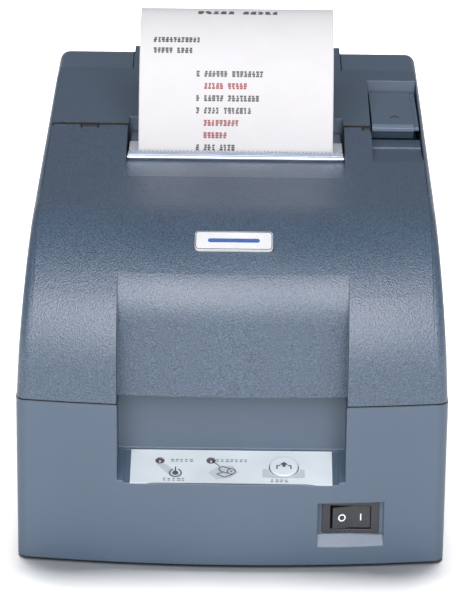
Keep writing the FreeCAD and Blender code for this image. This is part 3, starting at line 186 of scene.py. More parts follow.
# ---------------------------------------------------------------- finishes
def moulded_plastic(name, colour, grain_mm, depth_mm, rough, speckle, worn=0.35, seam=None):
    """Painted or moulded plastic with a spark-eroded grain, faint mottling and paler worn edges.

    A seam (axis, place in mm, reach in mm) darkens the plastic near one plane across that axis, for
    the shadow where two cases meet.
    """
    g = Graph(name)
    edge_mm = 0.5
    broad = g.noise(38.0, 3.0)
    mottled = g.mix(g.ramp(broad, 0.0, 1.0), shade(colour, 0.94), shade(colour, 1.07))
    fine = g.noise(grain_mm * 0.9, 2.0, 0.6)
    pits = shade(colour, 1 - speckle)
    peaks = shade(colour, 1 + speckle * 1.6)
    grained = g.mix(g.ramp(fine, 0.0, 1.0, 0.38, 0.66), pits, peaks)
    half = g.add("ShaderNodeMix", data_type="RGBA")
    half.inputs[0].default_value = 0.5
    g.link(mottled, half.inputs[6])
    g.link(grained, half.inputs[7])
    wear = g.ramp(g.noise(5.0, 4.0), 0.25, worn * 2, 0.4, 0.65)
    patchy = g.math("MULTIPLY", g.edges(edge_mm), wear)
    colour_out = g.mix(patchy, half.outputs[2], shade(colour, 1.9))
    if seam:
        colour_out = g.mix(g.near(*seam), colour_out, shade(colour, 0.06))
    bumps = g.math("ADD", g.noise(grain_mm, 3.0, 0.55), g.math("MULTIPLY", g.cells(grain_mm * 1.6), 0.5))
    normal = g.bump(bumps, depth_mm, 0.9, g.rounded(edge_mm))
    sheen = g.math("ADD", g.ramp(broad, rough - 0.05, rough + 0.05), g.ramp(fine, -0.05, 0.06, 0.35, 0.65))
    g.set(IOR=1.5)
    g.shader.inputs["Specular IOR Level"].default_value = 0.6
    return g.finish(colour_out, sheen, normal)


def gloss_plastic(name, colour, rough=0.22, ripple_mm=0.012, edge_mm=0.3):
    """Smooth plastic with handling smears and a trace of flow ripple."""
    g = Graph(name)
    smear = g.noise(9.0, 5.0, 0.6, g.stretched((1.0, 1.0, 0.35)))
    colour_out = g.mix(g.ramp(g.noise(22.0, 3.0), 0.0, 1.0), shade(colour, 0.93), shade(colour, 1.08))
    roughness = g.ramp(smear, rough - 0.05, rough + 0.14, 0.35, 0.7)
    normal = g.bump(g.noise(1.8, 2.0), ripple_mm, 0.6, g.rounded(edge_mm))
    return g.finish(colour_out, roughness, normal)


def brushed_metal(name, colour, rough=0.32, grain=(0.04, 1.0, 1.0), depth_mm=0.006):
    """Rolled or drawn metal: fine lines along one direction, with faint stains."""
    g = Graph(name)
    lines = g.noise(0.35, 3.0, 0.6, g.stretched(grain))
    stain = g.noise(14.0, 4.0)
    base = g.mix(g.ramp(lines, 0.0, 1.0, 0.3, 0.7), shade(colour, 0.86), shade(colour, 1.08))
    colour_out = g.mix(g.ramp(stain, 0.0, 0.22, 0.5, 0.75), base, shade(colour, 0.62))
    worn = g.ramp(stain, 0.0, 0.1, 0.45, 0.7)
    roughness = g.math("ADD", g.ramp(lines, rough - 0.08, rough + 0.1), worn)
    g.set(Metallic=1.0)
    return g.finish(colour_out, roughness, g.bump(lines, depth_mm, 0.8, g.rounded(0.15)))


def rubber_finish(name, colour):
    """Matt rubber with dust in its grain."""
    g = Graph(name)
    dust = g.noise(3.0, 5.0, 0.65)
    colour_out = g.mix(g.ramp(dust, 0.0, 0.5, 0.5, 0.75), colour, (0.12, 0.12, 0.115))
    normal = g.bump(g.noise(0.5, 3.0), 0.03, 0.8, g.rounded(0.3))
    g.shader.inputs["Specular IOR Level"].default_value = 0.3
    return g.finish(colour_out, g.ramp(dust, 0.7, 0.92), normal)


def paper_finish(name, colour, fibre_mm=0.5, layered=False, glow=0.0):
    """Uncoated paper: short fibres and a soft cloudiness, and a roll's wound edges if layered.

    The glow stands in for the light that comes through thin paper.
    """
    g = Graph(name)
    fibres = g.noise(fibre_mm, 4.0, 0.65, g.stretched((1.0, 0.45, 0.45)))
    cloud = g.noise(11.0, 3.0)
    base = g.mix(g.ramp(cloud, 0.0, 1.0), shade(colour, 0.975), shade(colour, 1.02))
    colour_out = g.mix(g.ramp(fibres, 0.0, 0.5, 0.45, 0.72), base, shade(colour, 0.93))
    height = g.math("ADD", fibres, g.math("MULTIPLY", cloud, 0.5))
    if layered:
        height = g.math("ADD", height, g.noise(0.4, 1.0, 0.5, g.stretched((12.0, 1.0, 1.0))))
    g.set(Subsurface_Weight=0.08, Subsurface_Scale=0.0006)
    g.set(Emission_Color=(0.97, 0.98, 1.0, 1.0), Emission_Strength=glow)
    return g.finish(colour_out, g.ramp(fibres, 0.72, 0.9), g.bump(height, 0.012, 0.7))


def card_finish(name, colour):
    """Wound grey-brown card with long fibres."""
    g = Graph(name)
    fibres = g.noise(0.8, 5.0, 0.7, g.stretched((0.25, 1.0, 1.0)))
    colour_out = g.mix(g.ramp(fibres, 0.0, 1.0), shade(colour, 0.72), shade(colour, 1.2))
    return g.finish(colour_out, g.ramp(fibres, 0.75, 0.95), g.bump(fibres, 0.05, 0.8))


def cloth_finish(name, colour):
    """Inked ribbon: a fine plain weave."""
    g = Graph(name)
    weave = g.math("MULTIPLY", g.waves(0.35, "X"), g.waves(0.35, "Z"))
    colour_out = g.mix(weave, shade(colour, 0.5), shade(colour, 1.7))
    return g.finish(colour_out, g.ramp(weave, 0.7, 0.95, 0.0, 1.0), g.bump(weave, 0.04, 0.8))


def board_finish(name, colour):
    """Circuit board: solder resist over a grid of copper tracks."""
    g = Graph(name)
    tracks = g.math("GREATER_THAN", g.cells(3.2, g.stretched((1.0, 1.0, 0.2)), "DISTANCE_TO_EDGE"), 0.08)
    colour_out = g.mix(tracks, shade(colour, 1.8), colour)
    roughness = g.ramp(tracks, 0.42, 0.26, 0.0, 1.0)
    return g.finish(colour_out, roughness, g.bump(tracks, 0.03, 0.4, g.rounded(0.2)))


def lens_finish(name, colour):
    """A smoked lens under a clear coat."""
    g = Graph(name)
    core = g.noise(1.1, 2.0)
    g.set(Coat_Weight=0.6, Coat_Roughness=0.08)
    colour_out = g.mix(g.ramp(core, 0.0, 1.0), shade(colour, 0.8), shade(colour, 1.3))
    return g.finish(colour_out, g.ramp(core, 0.18, 0.32))


def ink_finish(name, colour, patchy):
    """Ink from a ribbon or a printing plate: denser and thinner in places."""
    g = Graph(name)
    density = g.noise(0.45, 4.0, 0.7)
    thin = tuple(channel + (0.75 - channel) * patchy for channel in colour)
    colour_out = g.mix(g.ramp(density, 0.0, 1.0, 0.45, 0.75), colour, thin)
    return g.finish(colour_out, g.ramp(density, 0.5, 0.75))


def floor_finish():
    """Pale table top that turns into the white backdrop well away from the printer."""
    g = Graph("studio_floor")
    cloud = g.noise(300.0, 2.0)
    g.shader.inputs["Specular IOR Level"].default_value = 0.1
    distance = g.add("ShaderNodeVectorMath", operation="LENGTH")
    g.link(g.place, distance.inputs[0])
    g.set(Emission_Color=(1.0, 1.0, 1.0, 1.0))
    glow = g.ramp(distance.outputs["Value"], 0.0, 0.7, 0.22, 0.7)
    g.link(glow, g.shader.inputs["Emission Strength"])
    colour_out = g.mix(g.ramp(cloud, 0.0, 1.0), (0.79, 0.79, 0.795), (0.81, 0.81, 0.815))
    return g.finish(colour_out, g.ramp(cloud, 0.8, 0.9))


SLATE = (0.029, 0.047, 0.072)
CASE = (0.034, 0.055, 0.083)
PALE_GREY = (0.335, 0.375, 0.395)
FINISHES = {
    "case_plastic": moulded_plastic(
        "case_plastic_fine", CASE, grain_mm=0.5, depth_mm=0.03, rough=0.46, speckle=0.05),
    "cover_plastic": moulded_plastic(
        "cover_plastic_grained", SLATE, grain_mm=0.5, depth_mm=0.19, rough=0.36, speckle=0.85),
    "lever_plastic": moulded_plastic(
        "lever_plastic_satin", (0.044, 0.070, 0.102),
        grain_mm=0.5, depth_mm=0.02, rough=0.42, speckle=0.04, worn=0.25),
    "dark_plastic": moulded_plastic(
        "inner_plastic_dark", (0.03, 0.032, 0.036),
        grain_mm=0.7, depth_mm=0.02, rough=0.5, speckle=0.08, worn=0.1),
    "black_plastic": gloss_plastic("switch_plastic_black", (0.012, 0.013, 0.016)),
    "white_plastic": gloss_plastic("plate_plastic_white", (0.40, 0.412, 0.415), rough=0.28),
    "label_film": gloss_plastic(
        "control_film_pale", PALE_GREY, rough=0.36, ripple_mm=0.006, edge_mm=0.1),
    "grey_plastic": gloss_plastic("button_plastic_grey", PALE_GREY, rough=0.34, ripple_mm=0.01),
    "amber_lens": lens_finish("light_lens_smoked", (0.045, 0.035, 0.04)),
    "steel": brushed_metal("steel_rolled", (0.56, 0.57, 0.59)),
    "bright_steel": brushed_metal(
        "steel_bright", (0.34, 0.38, 0.45), rough=0.34, grain=(0.02, 0.5, 0.5), depth_mm=0.001),
    "brass": brushed_metal("brass_turned", (0.74, 0.56, 0.26), rough=0.3, grain=(1.0, 1.0, 0.1)),
    "rubber": rubber_finish("rubber_black", (0.022, 0.022, 0.023)),
    # The receipt's glow is painted light, standing in for the light that comes through the thin paper.
    "paper": paper_finish("paper_white", (0.28, 0.28, 0.283), glow=0.20),
    "cardboard": card_finish("core_card", (0.42, 0.30, 0.19)),
    "ribbon_cloth": cloth_finish("ribbon_weave", (0.05, 0.03, 0.08)),
    "board": board_finish("circuit_board_green", (0.03, 0.16, 0.08)),
}
SPECIAL = {
    "cover_hinge_brackets": moulded_plastic(
        "hinge_plastic_black", (0.010, 0.013, 0.018),
        grain_mm=0.6, depth_mm=0.02, rough=0.6, speckle=0.08, worn=0.0),
    # The lower case's seam darkens its rim top at z 64.4 mm: a painted shadow where the front cover sits on
    # it.
    "lower_case": moulded_plastic(
        "case_plastic_dark_rim", CASE,
        grain_mm=0.5, depth_mm=0.03, rough=0.46, speckle=0.05, seam=("Z", 64.4, 0.35)),
    "paper_roll": paper_finish("paper_wound", (0.88, 0.88, 0.87), fibre_mm=0.4, layered=True),
    # The roll cover's seam darkens its faces at y 10.2 mm: a painted shadow where it meets the front cover.
    "roll_cover": moulded_plastic(
        "roll_cover_plastic_fine", (0.034, 0.054, 0.080),
        grain_mm=0.5, depth_mm=0.03, rough=0.44, speckle=0.05, seam=("Y", 10.2, 0.4)),
    "upper_case": moulded_plastic(
        "rail_plastic_fine", (0.042, 0.066, 0.098), grain_mm=0.6, depth_mm=0.06, rough=0.45, speckle=0.07),
    "paper_exit_guide": moulded_plastic(
        "guide_plastic_satin", (0.34, 0.37, 0.41), grain_mm=0.4, depth_mm=0.02, rough=0.38, speckle=0.03),
}


def dress_cad_nodes():
    """Gives each CAD node its finish: its own, or that of its material slot."""
    slots = {part["node"]: part["material_slot"] for part in frame["record"]["subparts"]}
    for name, node in NODES.items():
        finish = SPECIAL.get(name) or FINISHES[slots[name]]
        node.data.materials.clear()
        node.data.materials.append(finish)


# ---------------------------------------------------------------- mesh helpers
def new_piece(name, mesh_maker, material, body, smooth=False):
    """Makes a mesh object from a function that fills a bmesh, and sets it riding on its body."""
    shape = bmesh.new()
    mesh_maker(shape)
    bmesh.ops.recalc_face_normals(shape, faces=shape.faces)
    mesh = bpy.data.meshes.new(name)
    shape.to_mesh(mesh)
    shape.free()
    if smooth:
        mesh.shade_smooth()
    piece = bpy.data.objects.new(name, mesh)
    bpy.context.scene.collection.objects.link(piece)
    mesh.materials.append(material)
    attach(piece, body)
    return piece


def slab(shape, points, lift, place):
    """A thin plate with the given outline, from the surface up to lift; place puts its points there."""
    low = [shape.verts.new(place(x, y, 0.0)) for x, y in points]
    high = [shape.verts.new(place(x, y, lift)) for x, y in points]
    count = len(points)
    shape.faces.new(low[::-1])
    shape.faces.new(high)
    for i in range(count):
        j = (i + 1) % count
        shape.faces.new((low[i], low[j], high[j], high[i]))


def band(shape, inner, outer, lift, place, closed=True):
    """A thin flat strip between two outlines of as many points, such as a ring or an arc."""
    layers = [[shape.verts.new(place(x, y, z)) for x, y in line]
              for z in (0.0, lift) for line in (inner, outer)]
    low_in, low_out, high_in, high_out = layers
    count = len(inner)
    for i in range(count if closed else count - 1):
        j = (i + 1) % count
        shape.faces.new((low_in[i], low_in[j], low_out[j], low_out[i]))
        shape.faces.new((high_in[i], high_out[i], high_out[j], high_in[j]))
        shape.faces.new((low_out[i], low_out[j], high_out[j], high_out[i]))
        shape.faces.new((low_in[j], low_in[i], high_in[i], high_in[j]))
    if not closed:
        for i in (0, count - 1):
            shape.faces.new((low_in[i], low_out[i], high_out[i], high_in[i]))


def rectangle(x0, x1, y0, y1):
    return [(x0, y0), (x1, y0), (x1, y1), (x0, y1)]


def rounded_rectangle(x0, x1, y0, y1, corner, steps=5):
    points = []
    for cx, cy, start in ((x1 - corner, y0 + corner, -90), (x1 - corner, y1 - corner, 0),
                          (x0 + corner, y1 - corner, 90), (x0 + corner, y0 + corner, 180)):
        for step in range(steps + 1):
            angle = math.radians(start + 90 * step / steps)
            points.append((cx + corner * math.cos(angle), cy + corner * math.sin(angle)))
    return points


def arc(x, y, radius, start, end, steps=24):
    angles = [math.radians(start + (end - start) * step / steps) for step in range(steps + 1)]
    return [(x + radius * math.cos(a), y + radius * math.sin(a)) for a in angles]


def circle(x, y, radius, steps=32):
    return arc(x, y, radius, 0, 360 - 360 / steps, steps - 1)


def stroke(a, b, width):
    """The four corners of a straight stroke between two points."""
    along = Vector((b[0] - a[0], b[1] - a[1])).normalized() * width / 2
    side = Vector((-along.y, along.x))
    return [(a[0] - side.x, a[1] - side.y), (b[0] - side.x, b[1] - side.y),
            (b[0] + side.x, b[1] + side.y), (a[0] + side.x, a[1] + side.y)]


# ---------------------------------------------------------------- receipt
PAPER_LOW, PAPER_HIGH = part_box("receipt")
PAPER_HALF = PAPER_HIGH.x
PAPER_THICK = 0.2 * MM
RECEIPT_BENDS = ((86.0 * MM, 28.6), (38.0 * MM, 43.4), (16.0 * MM, 26.0))   # radius, degrees turned
RECEIPT_LENGTH = sum(radius * math.radians(turn) for radius, turn in RECEIPT_BENDS)


def along_receipt(distance):
    """Point on the front of the receipt (y, z) and its outward direction, at a distance from its low end."""
    y, z = PAPER_LOW.y, PAPER_LOW.z
    angle = 0.0
    for radius, turn_deg in RECEIPT_BENDS:
        turn = math.radians(turn_deg)
        part = min(distance / radius, turn)
        y += radius * (math.cos(angle) - math.cos(angle + part))
        z += radius * (math.sin(angle + part) - math.sin(angle))
        angle += part
        distance -= part * radius
        if distance <= 0:
            break
    return y, z, Vector((0.0, -math.cos(angle), math.sin(angle)))


def on_receipt(x, distance, lift):
    y, z, out = along_receipt(distance)
    return Vector((x, y, z)) + out * lift


def receipt_mesh(shape):
    """The sheet, front and back, with the ragged edge that the tear bar left on its free end."""
    columns = 104
    rows = 64
    tooth = 0.55 * MM
    grids = []
    for lift in (0.0, -PAPER_THICK):
        grid = []
        for row in range(rows + 1):
            line = []
            for column in range(columns + 1):
                x = -PAPER_HALF + 2 * PAPER_HALF * column / columns
                bite = tooth * (column % 2) if row == rows else 0.0
                distance = RECEIPT_LENGTH * row / rows - bite
                line.append(shape.verts.new(on_receipt(x, distance, lift)))
            grid.append(line)
        grids.append(grid)
    front, back = grids
    for row in range(rows):
        for column in range(columns):
            a, b = (row, column), (row, column + 1)
            c, d = (row + 1, column + 1), (row + 1, column)
            shape.faces.new([front[r][k] for r, k in (a, b, c, d)])
            shape.faces.new([back[r][k] for r, k in (d, c, b, a)])
    rim = [(0, k) for k in range(columns + 1)] + [(r, columns) for r in range(1, rows + 1)]
    rim += [(rows, k) for k in range(columns - 1, -1, -1)] + [(r, 0) for r in range(rows - 1, 0, -1)]
    for (r0, k0), (r1, k1) in zip(rim, rim[1:] + rim[:1]):
        shape.faces.new((front[r1][k1], front[r0][k0], back[r0][k0], back[r1][k1]))


FIRST_LINE = 14.0 * MM                     # the first printed line's middle, up the sheet
LINE_PITCH = 4.82 * MM                     # from one printed line to the next
LINE_HEIGHT = 2.5 * MM
LINE_DROP = 1.2 * MM                       # a line starts this far below its middle
CELL = 1.55 * MM                           # the room that one mark takes along its line
MARK_LEVELS = 3                            # dashes above one another in a mark
MARK_STARTS = (0.0, 0.0, 0.18)             # where a dash may start and end, in parts of its cell
MARK_ENDS = (0.6, 0.78, 0.78)
MARK_SHARE = 0.86                          # the part of its level that a dash fills
# Each line of print: (lines up from the first, x of its first mark in mm, words, widening, in red).
# The words are given as numbers of marks.
PRINTED = (
    (0, -15.6, (1, 3, 4), 1.0, False),
    (1, -12.6, (6,), 1.0, True),
    (2, -12.6, (9,), 1.0, True),
    (3, -15.6, (1, 4, 7), 1.0, False),
    (4, -15.6, (1, 5, 8), 1.0, False),
    (5, -12.6, (5, 5), 1.0, True),
    (6, -15.6, (1, 6, 8), 1.0, False),
    (8, -32.6, (5, 4), 1.0, False),
    (9, -32.6, (12,), 1.0, False),
    (12.3, -15.4, (5, 5), 1.9, False),
)


def dashes(width):
    """A generic printed mark: three short dashes, one above another, that spell nothing."""
    marks = []
    for level in range(MARK_LEVELS):
        start = DRAW.choice(MARK_STARTS)
        end = DRAW.choice(MARK_ENDS)
        low = (level + 0.1) / MARK_LEVELS * LINE_HEIGHT
        marks.append((start * width, end * width, low, low + MARK_SHARE * LINE_HEIGHT / MARK_LEVELS))
    return marks


def print_lines(shape, red):
    """Prints the red or the black lines. Both draw every mark, so that neither changes the other."""
    for lines_up, first_x, words, widening, is_red in PRINTED:
        x = first_x * MM
        base = FIRST_LINE + lines_up * LINE_PITCH - LINE_DROP
        width = CELL * widening
        for word in words:
            for _ in range(word):
                marks = dashes(width)
                if is_red == red:
                    for x0, x1, s0, s1 in marks:
                        dash = rectangle(x + x0, x + x1, base + s0, base + s1)
                        slab(shape, dash, PRINT_LIFT, on_receipt)
                x += width
            x += width


def build_receipt():
    sheet = new_piece("receipt_sheet", receipt_mesh, FINISHES["paper"], "base", smooth=True)
    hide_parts("receipt")
    black = ink_finish("receipt_ink_black", (0.012, 0.012, 0.018), 0.12)
    red = ink_finish("receipt_ink_red", (0.15, 0.008, 0.010), 0.1)
    for name, ink, is_red in (("receipt_print_black", black, False), ("receipt_print_red", red, True)):
        DRAW.seed(11)
        new_piece(name, lambda shape, is_red=is_red: print_lines(shape, is_red), ink, "base")


# ---------------------------------------------------------------- badge
BADGE_LOW, BADGE_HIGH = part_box("badge")
BADGE_MIDDLE = (BADGE_LOW + BADGE_HIGH) / 2
BADGE_SLOPE = math.radians(27.0)           # its slope on the front cover
BADGE_UP = Vector((0.0, math.cos(BADGE_SLOPE), math.sin(BADGE_SLOPE)))
BADGE_OUT = Vector((0.0, -math.sin(BADGE_SLOPE), math.cos(BADGE_SLOPE)))
BADGE_FACE = 0.6 * MM                      # from its middle to its face
# Half the width, half the height and the corner radius of each printed outline.
BADGE_BAR = (9.6 * MM, 1.0 * MM, 0.9 * MM)
BADGE_RIM_INNER = (13.9 * MM, 4.15 * MM, 1.1 * MM)
BADGE_RIM_OUTER = (14.25 * MM, 4.5 * MM, 1.45 * MM)


def on_badge(x, u, lift):
    """Point at x across and u up the badge, at lift above its face."""
    return BADGE_MIDDLE + Vector((x, 0, 0)) + BADGE_UP * u + BADGE_OUT * (BADGE_FACE + lift)


def centred(half_width, half_height, corner):
    return rounded_rectangle(-half_width, half_width, -half_height, half_height, corner)


def build_badge():
    navy = ink_finish("badge_print_blue", (0.010, 0.045, 0.17), 0.1)
    rim = ink_finish("badge_rim_dark", (0.03, 0.04, 0.06), 0.1)

    def stripe(shape):
        slab(shape, centred(*BADGE_BAR), PRINT_LIFT, on_badge)

    def outline(shape):
        band(shape, centred(*BADGE_RIM_INNER), centred(*BADGE_RIM_OUTER), PRINT_LIFT, on_badge)

    new_piece("badge_stripe", stripe, navy, "printer_cover")
    new_piece("badge_rim", outline, rim, "printer_cover")


# ---------------------------------------------------------------- control film
# The tilted shelf at the front: a point has x across it and u up its slope from its front edge.
SHELF_TILT = math.radians(18.6)
SHELF_FRONT = Vector((0.0, -0.124, 0.0337))
SHELF_UP = Vector((0.0, math.cos(SHELF_TILT), math.sin(SHELF_TILT)))
SHELF_OUT = Vector((0.0, -math.sin(SHELF_TILT), math.cos(SHELF_TILT)))
FILM_TOP = -0.2 * MM                       # heights above the shelf
BUTTON_TOP = 0.7 * MM
LIGHTS = ((-26.7 * MM, 13.3 * MM), (-7.6 * MM, 13.6 * MM))
BUTTON = (19.6 * MM, 10.1 * MM)

# The drawings on the film and the button are all in mm.
POWER_BAND = ((-28.2, 11.6), (-24.6, 11.6), (-18.2, 4.6), (-22.6, 4.6))
ROLL_FIELD = ((-8.6, 7.0), (-4.4, 10.8), (0.6, 10.8), (2.6, 7.2), (-0.2, 4.2), (-5.6, 3.2))
BUTTON_FIELD = ((11.6, 4.6), (27.4, 4.6), (27.4, 9.2), (25.6, 9.2))
BUTTON_FIELD_END = (11.6, 9.2)
BUTTON_HOLLOW = 5.9                        # radius that the field leaves clear about the button
POWER_SIGN = (-20.8, 6.6)
ROLL_SIGN = (0.0, 7.7)
CURL_SIGN = (-3.6, 9.2)
LEADER = ((-6.4, 12.6), (-4.4, 10.6))      # from the paper light to its sign
SHEET_STROKES = (((-0.4, 9.3), (-3.4, 10.4)), ((-1.4, 6.6), (-4.6, 8.1)), ((-2.8, 7.3), (-5.4, 6.2)),
                 ((-5.4, 6.2), (-2.6, 4.4)), ((-2.6, 4.4), (0.6, 6.1)))

# Captions are rows of short generic dashes: (middle x, middle u, dashes).
CAPTIONS = ((-18.2, 13.5, 5), (-0.4, 13.6, 8), (-21.0, 2.9, 5), (18.2, 2.7, 4))
CAPTION_PITCH = 1.75
CAPTION_LEVELS = (-0.62, 0.32)
CAPTION_LENGTHS = (0.9, 1.25)
CAPTION_THICK = 0.42


def on_film(x, u, lift):
    return SHELF_FRONT + Vector((x, 0, 0)) + SHELF_UP * u + SHELF_OUT * (FILM_TOP + lift)


def on_button(x, u, lift):
    return SHELF_FRONT + Vector((x, 0, 0)) + SHELF_UP * u + SHELF_OUT * (BUTTON_TOP + lift)


def scaled(points):
    """Points in mm, in metres."""
    return [(x * MM, y * MM) for x, y in points]


def print_area(shape, points, place=on_film, lift=PRINT_LIFT):
    """Prints a filled outline."""
    slab(shape, scaled(points), lift, place)


def print_arc(shape, middle, inner, outer, start, end, steps=24):
    """Prints part of a ring on the film, between two radii and two angles."""
    lines = [scaled(arc(*middle, radius, start, end, steps)) for radius in (inner, outer)]
    band(shape, *lines, PRINT_LIFT, on_film, closed=False)


def film_tint(shape):
    """Grey printed areas behind the signs."""
    print_area(shape, POWER_BAND, lift=TINT_LIFT)
    print_area(shape, ROLL_FIELD, lift=TINT_LIFT)
    hollow = arc(BUTTON[0] / MM, BUTTON[1] / MM, BUTTON_HOLLOW, -9, -171, 24)
    print_area(shape, [*BUTTON_FIELD, *hollow, BUTTON_FIELD_END], lift=TINT_LIFT)


def film_signs(shape):
    """A power sign, and a sheet coming off a roll."""
    x, u = POWER_SIGN
    print_arc(shape, POWER_SIGN, 1.9, 2.45, 115, 425)
    print_area(shape, circle(x, u, 1.15))
    print_area(shape, stroke((x, u + 0.9), (x, u + 3.4), 0.5))
    print_area(shape, stroke(*LEADER, 0.4))
    band(shape, scaled(circle(*ROLL_SIGN, 1.25)), scaled(circle(*ROLL_SIGN, 1.7)), PRINT_LIFT, on_film)
    print_area(shape, circle(*ROLL_SIGN, 0.4))
    for a, b in SHEET_STROKES:
        print_area(shape, stroke(a, b, 0.45))
    print_arc(shape, CURL_SIGN, 0.75, 1.2, 80, 250, 12)


def film_captions(shape):
    for middle, u, count in CAPTIONS:
        start = middle - CAPTION_PITCH * count / 2
        for dash in range(count):
            x = start + dash * CAPTION_PITCH
            for level in CAPTION_LEVELS:
                length = DRAW.choice(CAPTION_LENGTHS)
                print_area(shape, rectangle(x, x + length, u + level, u + level + CAPTION_THICK))


def button_sign(shape):
    """An arrow that rises out of a slot."""
    x, u = BUTTON[0] / MM, BUTTON[1] / MM
    print_area(shape, [(x - 1.7, u + 0.7), (x + 1.7, u + 0.7), (x, u + 2.3)], on_button)
    print_area(shape, rectangle(x - 0.6, x + 0.6, u - 0.5, u + 0.7), on_button)
    for side in (-1, 1):
        wall = x + side * 2.6
        lip = x + side * 1.4
        print_area(shape, stroke((wall, u - 1.7), (wall, u + 0.4), 0.5), on_button)
        print_area(shape, stroke((wall, u + 0.2), (lip, u + 0.2), 0.5), on_button)


def light_rims(shape):
    for x, u in LIGHTS:
        band(shape, circle(x, u, 1.48 * MM), circle(x, u, 1.75 * MM), PRINT_LIFT, on_film)


def build_control_film():
    tint = ink_finish("film_print_grey", (0.24, 0.265, 0.295), 0.1)
    dark = ink_finish("film_print_dark", (0.018, 0.02, 0.026), 0.12)
    soft = ink_finish("film_print_slate", (0.03, 0.033, 0.042), 0.12)
    DRAW.seed(5)
    new_piece("film_tint", film_tint, tint, "base")
    new_piece("film_signs", film_signs, dark, "base")
    new_piece("film_captions", film_captions, soft, "base")
    new_piece("film_light_rims", light_rims, soft, "base")
    new_piece("button_sign", button_sign, dark, "feed_button")


# ---------------------------------------------------------------- rocker and lever marks
ROCKER_LOW, ROCKER_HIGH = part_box("power_rocker")
ROCKER_PIVOT = Vector((0.0447, -0.1174, (ROCKER_LOW.z + ROCKER_HIGH.z) / 2))
ROCKER_TILT = math.radians(8.0)            # as drawn, and the slope of each half of its face
ROCKER_HALF = 7.1 * MM
ROCKER_FACE = -1.6 * MM                    # y of the face's middle, from the pivot
OFF_RING = (1.0 * MM, 1.45 * MM)           # radii
ON_BAR = (0.22 * MM, 1.35 * MM)            # half the width, half the height

LEVER_LOW, LEVER_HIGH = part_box("cover_lever")
LEVER_X = (LEVER_LOW.x + LEVER_HIGH.x) / 2
LEVER_FRONT = Vector((LEVER_X, 0.0108, 0.1322))     # the front and rear ends of its top face
LEVER_REAR = Vector((LEVER_X, 0.0575, 0.1314))
LEVER_MARK_LIFT = 0.12 * MM


def rocker_place(side):
    """A function that puts marks on one half of the rocker: -1 is the half that stands out."""
    turn = Matrix.Rotation(ROCKER_TILT, 3, "Z")
    rise = ROCKER_HALF * math.tan(ROCKER_TILT)
    near = turn @ Vector((0.0, ROCKER_FACE, 0.0))
    far = turn @ Vector((side * ROCKER_HALF, ROCKER_FACE - rise, 0.0))
    right = (far - near).normalized() * side
    out = Vector((right.y, -right.x, 0.0))
    middle = ROCKER_PIVOT + (near + far) / 2

    def place(x, z, lift):
        return middle + right * x + Vector((0, 0, z)) + out * lift

    return place


def build_rocker_marks():
    """The usual signs for off, a ring, and on, a bar."""
    white = ink_finish("rocker_mark_white", (0.5, 0.51, 0.52), 0.05)

    def off_mark(shape):
        inner, outer = OFF_RING
        band(shape, circle(0, 0, inner), circle(0, 0, outer), PRINT_LIFT, rocker_place(-1))

    def on_mark(shape):
        half_width, half_height = ON_BAR
        bar = rectangle(-half_width, half_width, -half_height, half_height)
        slab(shape, bar, PRINT_LIFT, rocker_place(1))

    new_piece("rocker_mark_off", off_mark, white, "power_rocker")
    new_piece("rocker_mark_on", on_mark, white, "power_rocker")


def build_lever_mark():
    """A moulded arrowhead near the lever's front edge."""
    along = (LEVER_REAR - LEVER_FRONT).normalized()
    out = Vector((0, -along.z, along.y))

    def place(across, back, lift):
        return LEVER_FRONT + Vector((across, 0, 0)) + along * back + out * lift

    def arrowhead(shape):
        for side in (-1, 1):
            points = scaled([(0, 12.4), (side * 2.1, 9.4), (side * 1.45, 9.1), (0, 11.2)])
            slab(shape, points, LEVER_MARK_LIFT, place)

    paint = ink_finish("lever_mark_dark", (0.012, 0.014, 0.018), 0.03)
    new_piece("lever_mark", arrowhead, paint, "cover_lever")


# ---------------------------------------------------------------- studio
FLOOR_RADIUS = 3.0
PRINTER_MIDDLE = (0.0, 0.0, 0.08)
ROOM_COLOUR = (0.90, 0.95, 1.0, 1.0)
ROOM_STRENGTH = 0.3
BACKDROP_COLOUR = (1.0, 1.0, 1.0, 1.0)

CAMERA_PLACE = (0.00406, -1.2523, 0.5257)
CAMERA_TARGET = (-0.00206, 0.0, 0.06075)
CAMERA_ROLL_DEG = 0.58
CAMERA_LENS_MM = 198.97
CAMERA_SENSOR_MM = 36.0
CAMERA_REACH = 50.0


def build_floor():
    """A plain pale table, rounded off far outside the view."""
    shape = bmesh.new()
    bmesh.ops.create_circle(shape, cap_ends=True, radius=FLOOR_RADIUS, segments=96)
    mesh = bpy.data.meshes.new("studio_floor")
    shape.to_mesh(mesh)
    shape.free()
    mesh.materials.append(floor_finish())
    floor = bpy.data.objects.new("studio_floor", mesh)
    bpy.context.scene.collection.objects.link(floor)
    return floor


def aimed(location, target, turn_deg=0.0):
    """A matrix at location whose -Z looks at target, turned about its own view line."""
    look = (Vector(target) - Vector(location)).to_track_quat("-Z", "Y").to_matrix().to_4x4()
    return Matrix.Translation(location) @ look @ Matrix.Rotation(math.radians(turn_deg), 4, "Z")


def soft_light(name, location, target, width, height, power, colour=(1.0, 1.0, 1.0)):
    """A rectangular lamp that faces its target."""
    data = bpy.data.lights.new(name, "AREA")
    data.shape = "RECTANGLE"
    data.size = width
    data.size_y = height
    data.energy = power
    data.color = colour
    lamp = bpy.data.objects.new(name, data)
    lamp.matrix_world = aimed(location, target)
    bpy.context.scene.collection.objects.link(lamp)
    return lamp


def link_light(lamp, thing, state):
    """INCLUDE: the lamp lights only that thing. EXCLUDE: it lights everything but that thing."""
    receivers = bpy.data.collections.new(lamp.name + "_receivers")
    receivers.objects.link(thing)
    receivers.collection_objects[0].light_linking.link_state = state
    lamp.light_linking.receiver_collection = receivers


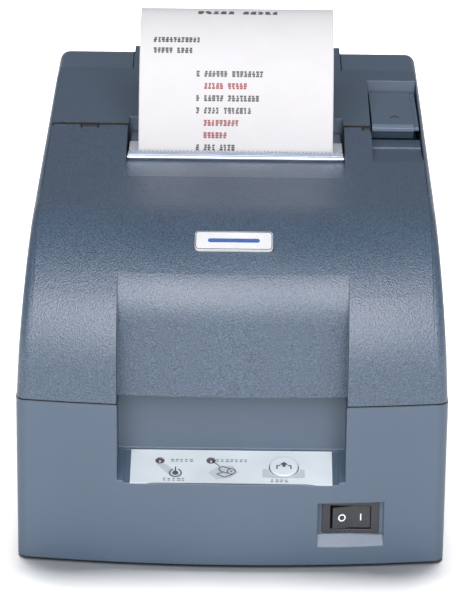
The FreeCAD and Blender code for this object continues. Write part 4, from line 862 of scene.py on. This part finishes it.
def build_lamps(floor):
    """Two wide lamps light the printer from the front, and one of its own lights the table."""
    key = soft_light("key_front", (0.0, -1.25, 1.15), PRINTER_MIDDLE, width=1.25, height=1.5, power=57.0,
                     colour=(1.0, 0.965, 1.0))
    link_light(key, floor, "EXCLUDE")
    low = soft_light("front_low", (0.0, -2.2, 0.42), PRINTER_MIDDLE, width=2.2, height=0.7, power=24.0)
    link_light(low, floor, "EXCLUDE")
    table = soft_light("table_light", (0.0, 0.3, 1.5), (0.0, 0.0, 0.0), width=0.9, height=0.6, power=52.0)
    link_light(table, floor, "INCLUDE")


def build_world():
    """A faint bluish room light, which the camera sees as a white backdrop."""
    world = bpy.data.worlds.new("studio_air")
    world.use_nodes = True
    tree = world.node_tree
    room = tree.nodes["Background"]
    room.inputs["Color"].default_value = ROOM_COLOUR
    room.inputs["Strength"].default_value = ROOM_STRENGTH
    backdrop = tree.nodes.new("ShaderNodeBackground")
    backdrop.inputs["Color"].default_value = BACKDROP_COLOUR
    seen = tree.nodes.new("ShaderNodeLightPath")
    either = tree.nodes.new("ShaderNodeMixShader")
    tree.links.new(seen.outputs["Is Camera Ray"], either.inputs[0])
    tree.links.new(room.outputs[0], either.inputs[1])
    tree.links.new(backdrop.outputs[0], either.inputs[2])
    tree.links.new(either.outputs[0], tree.nodes["World Output"].inputs[0])
    bpy.context.scene.world = world


def build_studio():
    build_lamps(build_floor())
    build_world()
    bpy.context.scene.view_settings.view_transform = "Standard"


def build_camera():
    """The camera that the photo was fitted to."""
    data = bpy.data.cameras.new("camera")
    data.lens = CAMERA_LENS_MM
    data.sensor_width = CAMERA_SENSOR_MM
    data.clip_end = CAMERA_REACH
    camera = bpy.data.objects.new("camera", data)
    camera.matrix_world = aimed(CAMERA_PLACE, CAMERA_TARGET, CAMERA_ROLL_DEG)
    bpy.context.scene.collection.objects.link(camera)
    bpy.context.scene.camera = camera


build_camera()
build_studio()
dress_cad_nodes()
build_receipt()
build_badge()
build_control_film()
build_rocker_marks()
build_lever_mark()
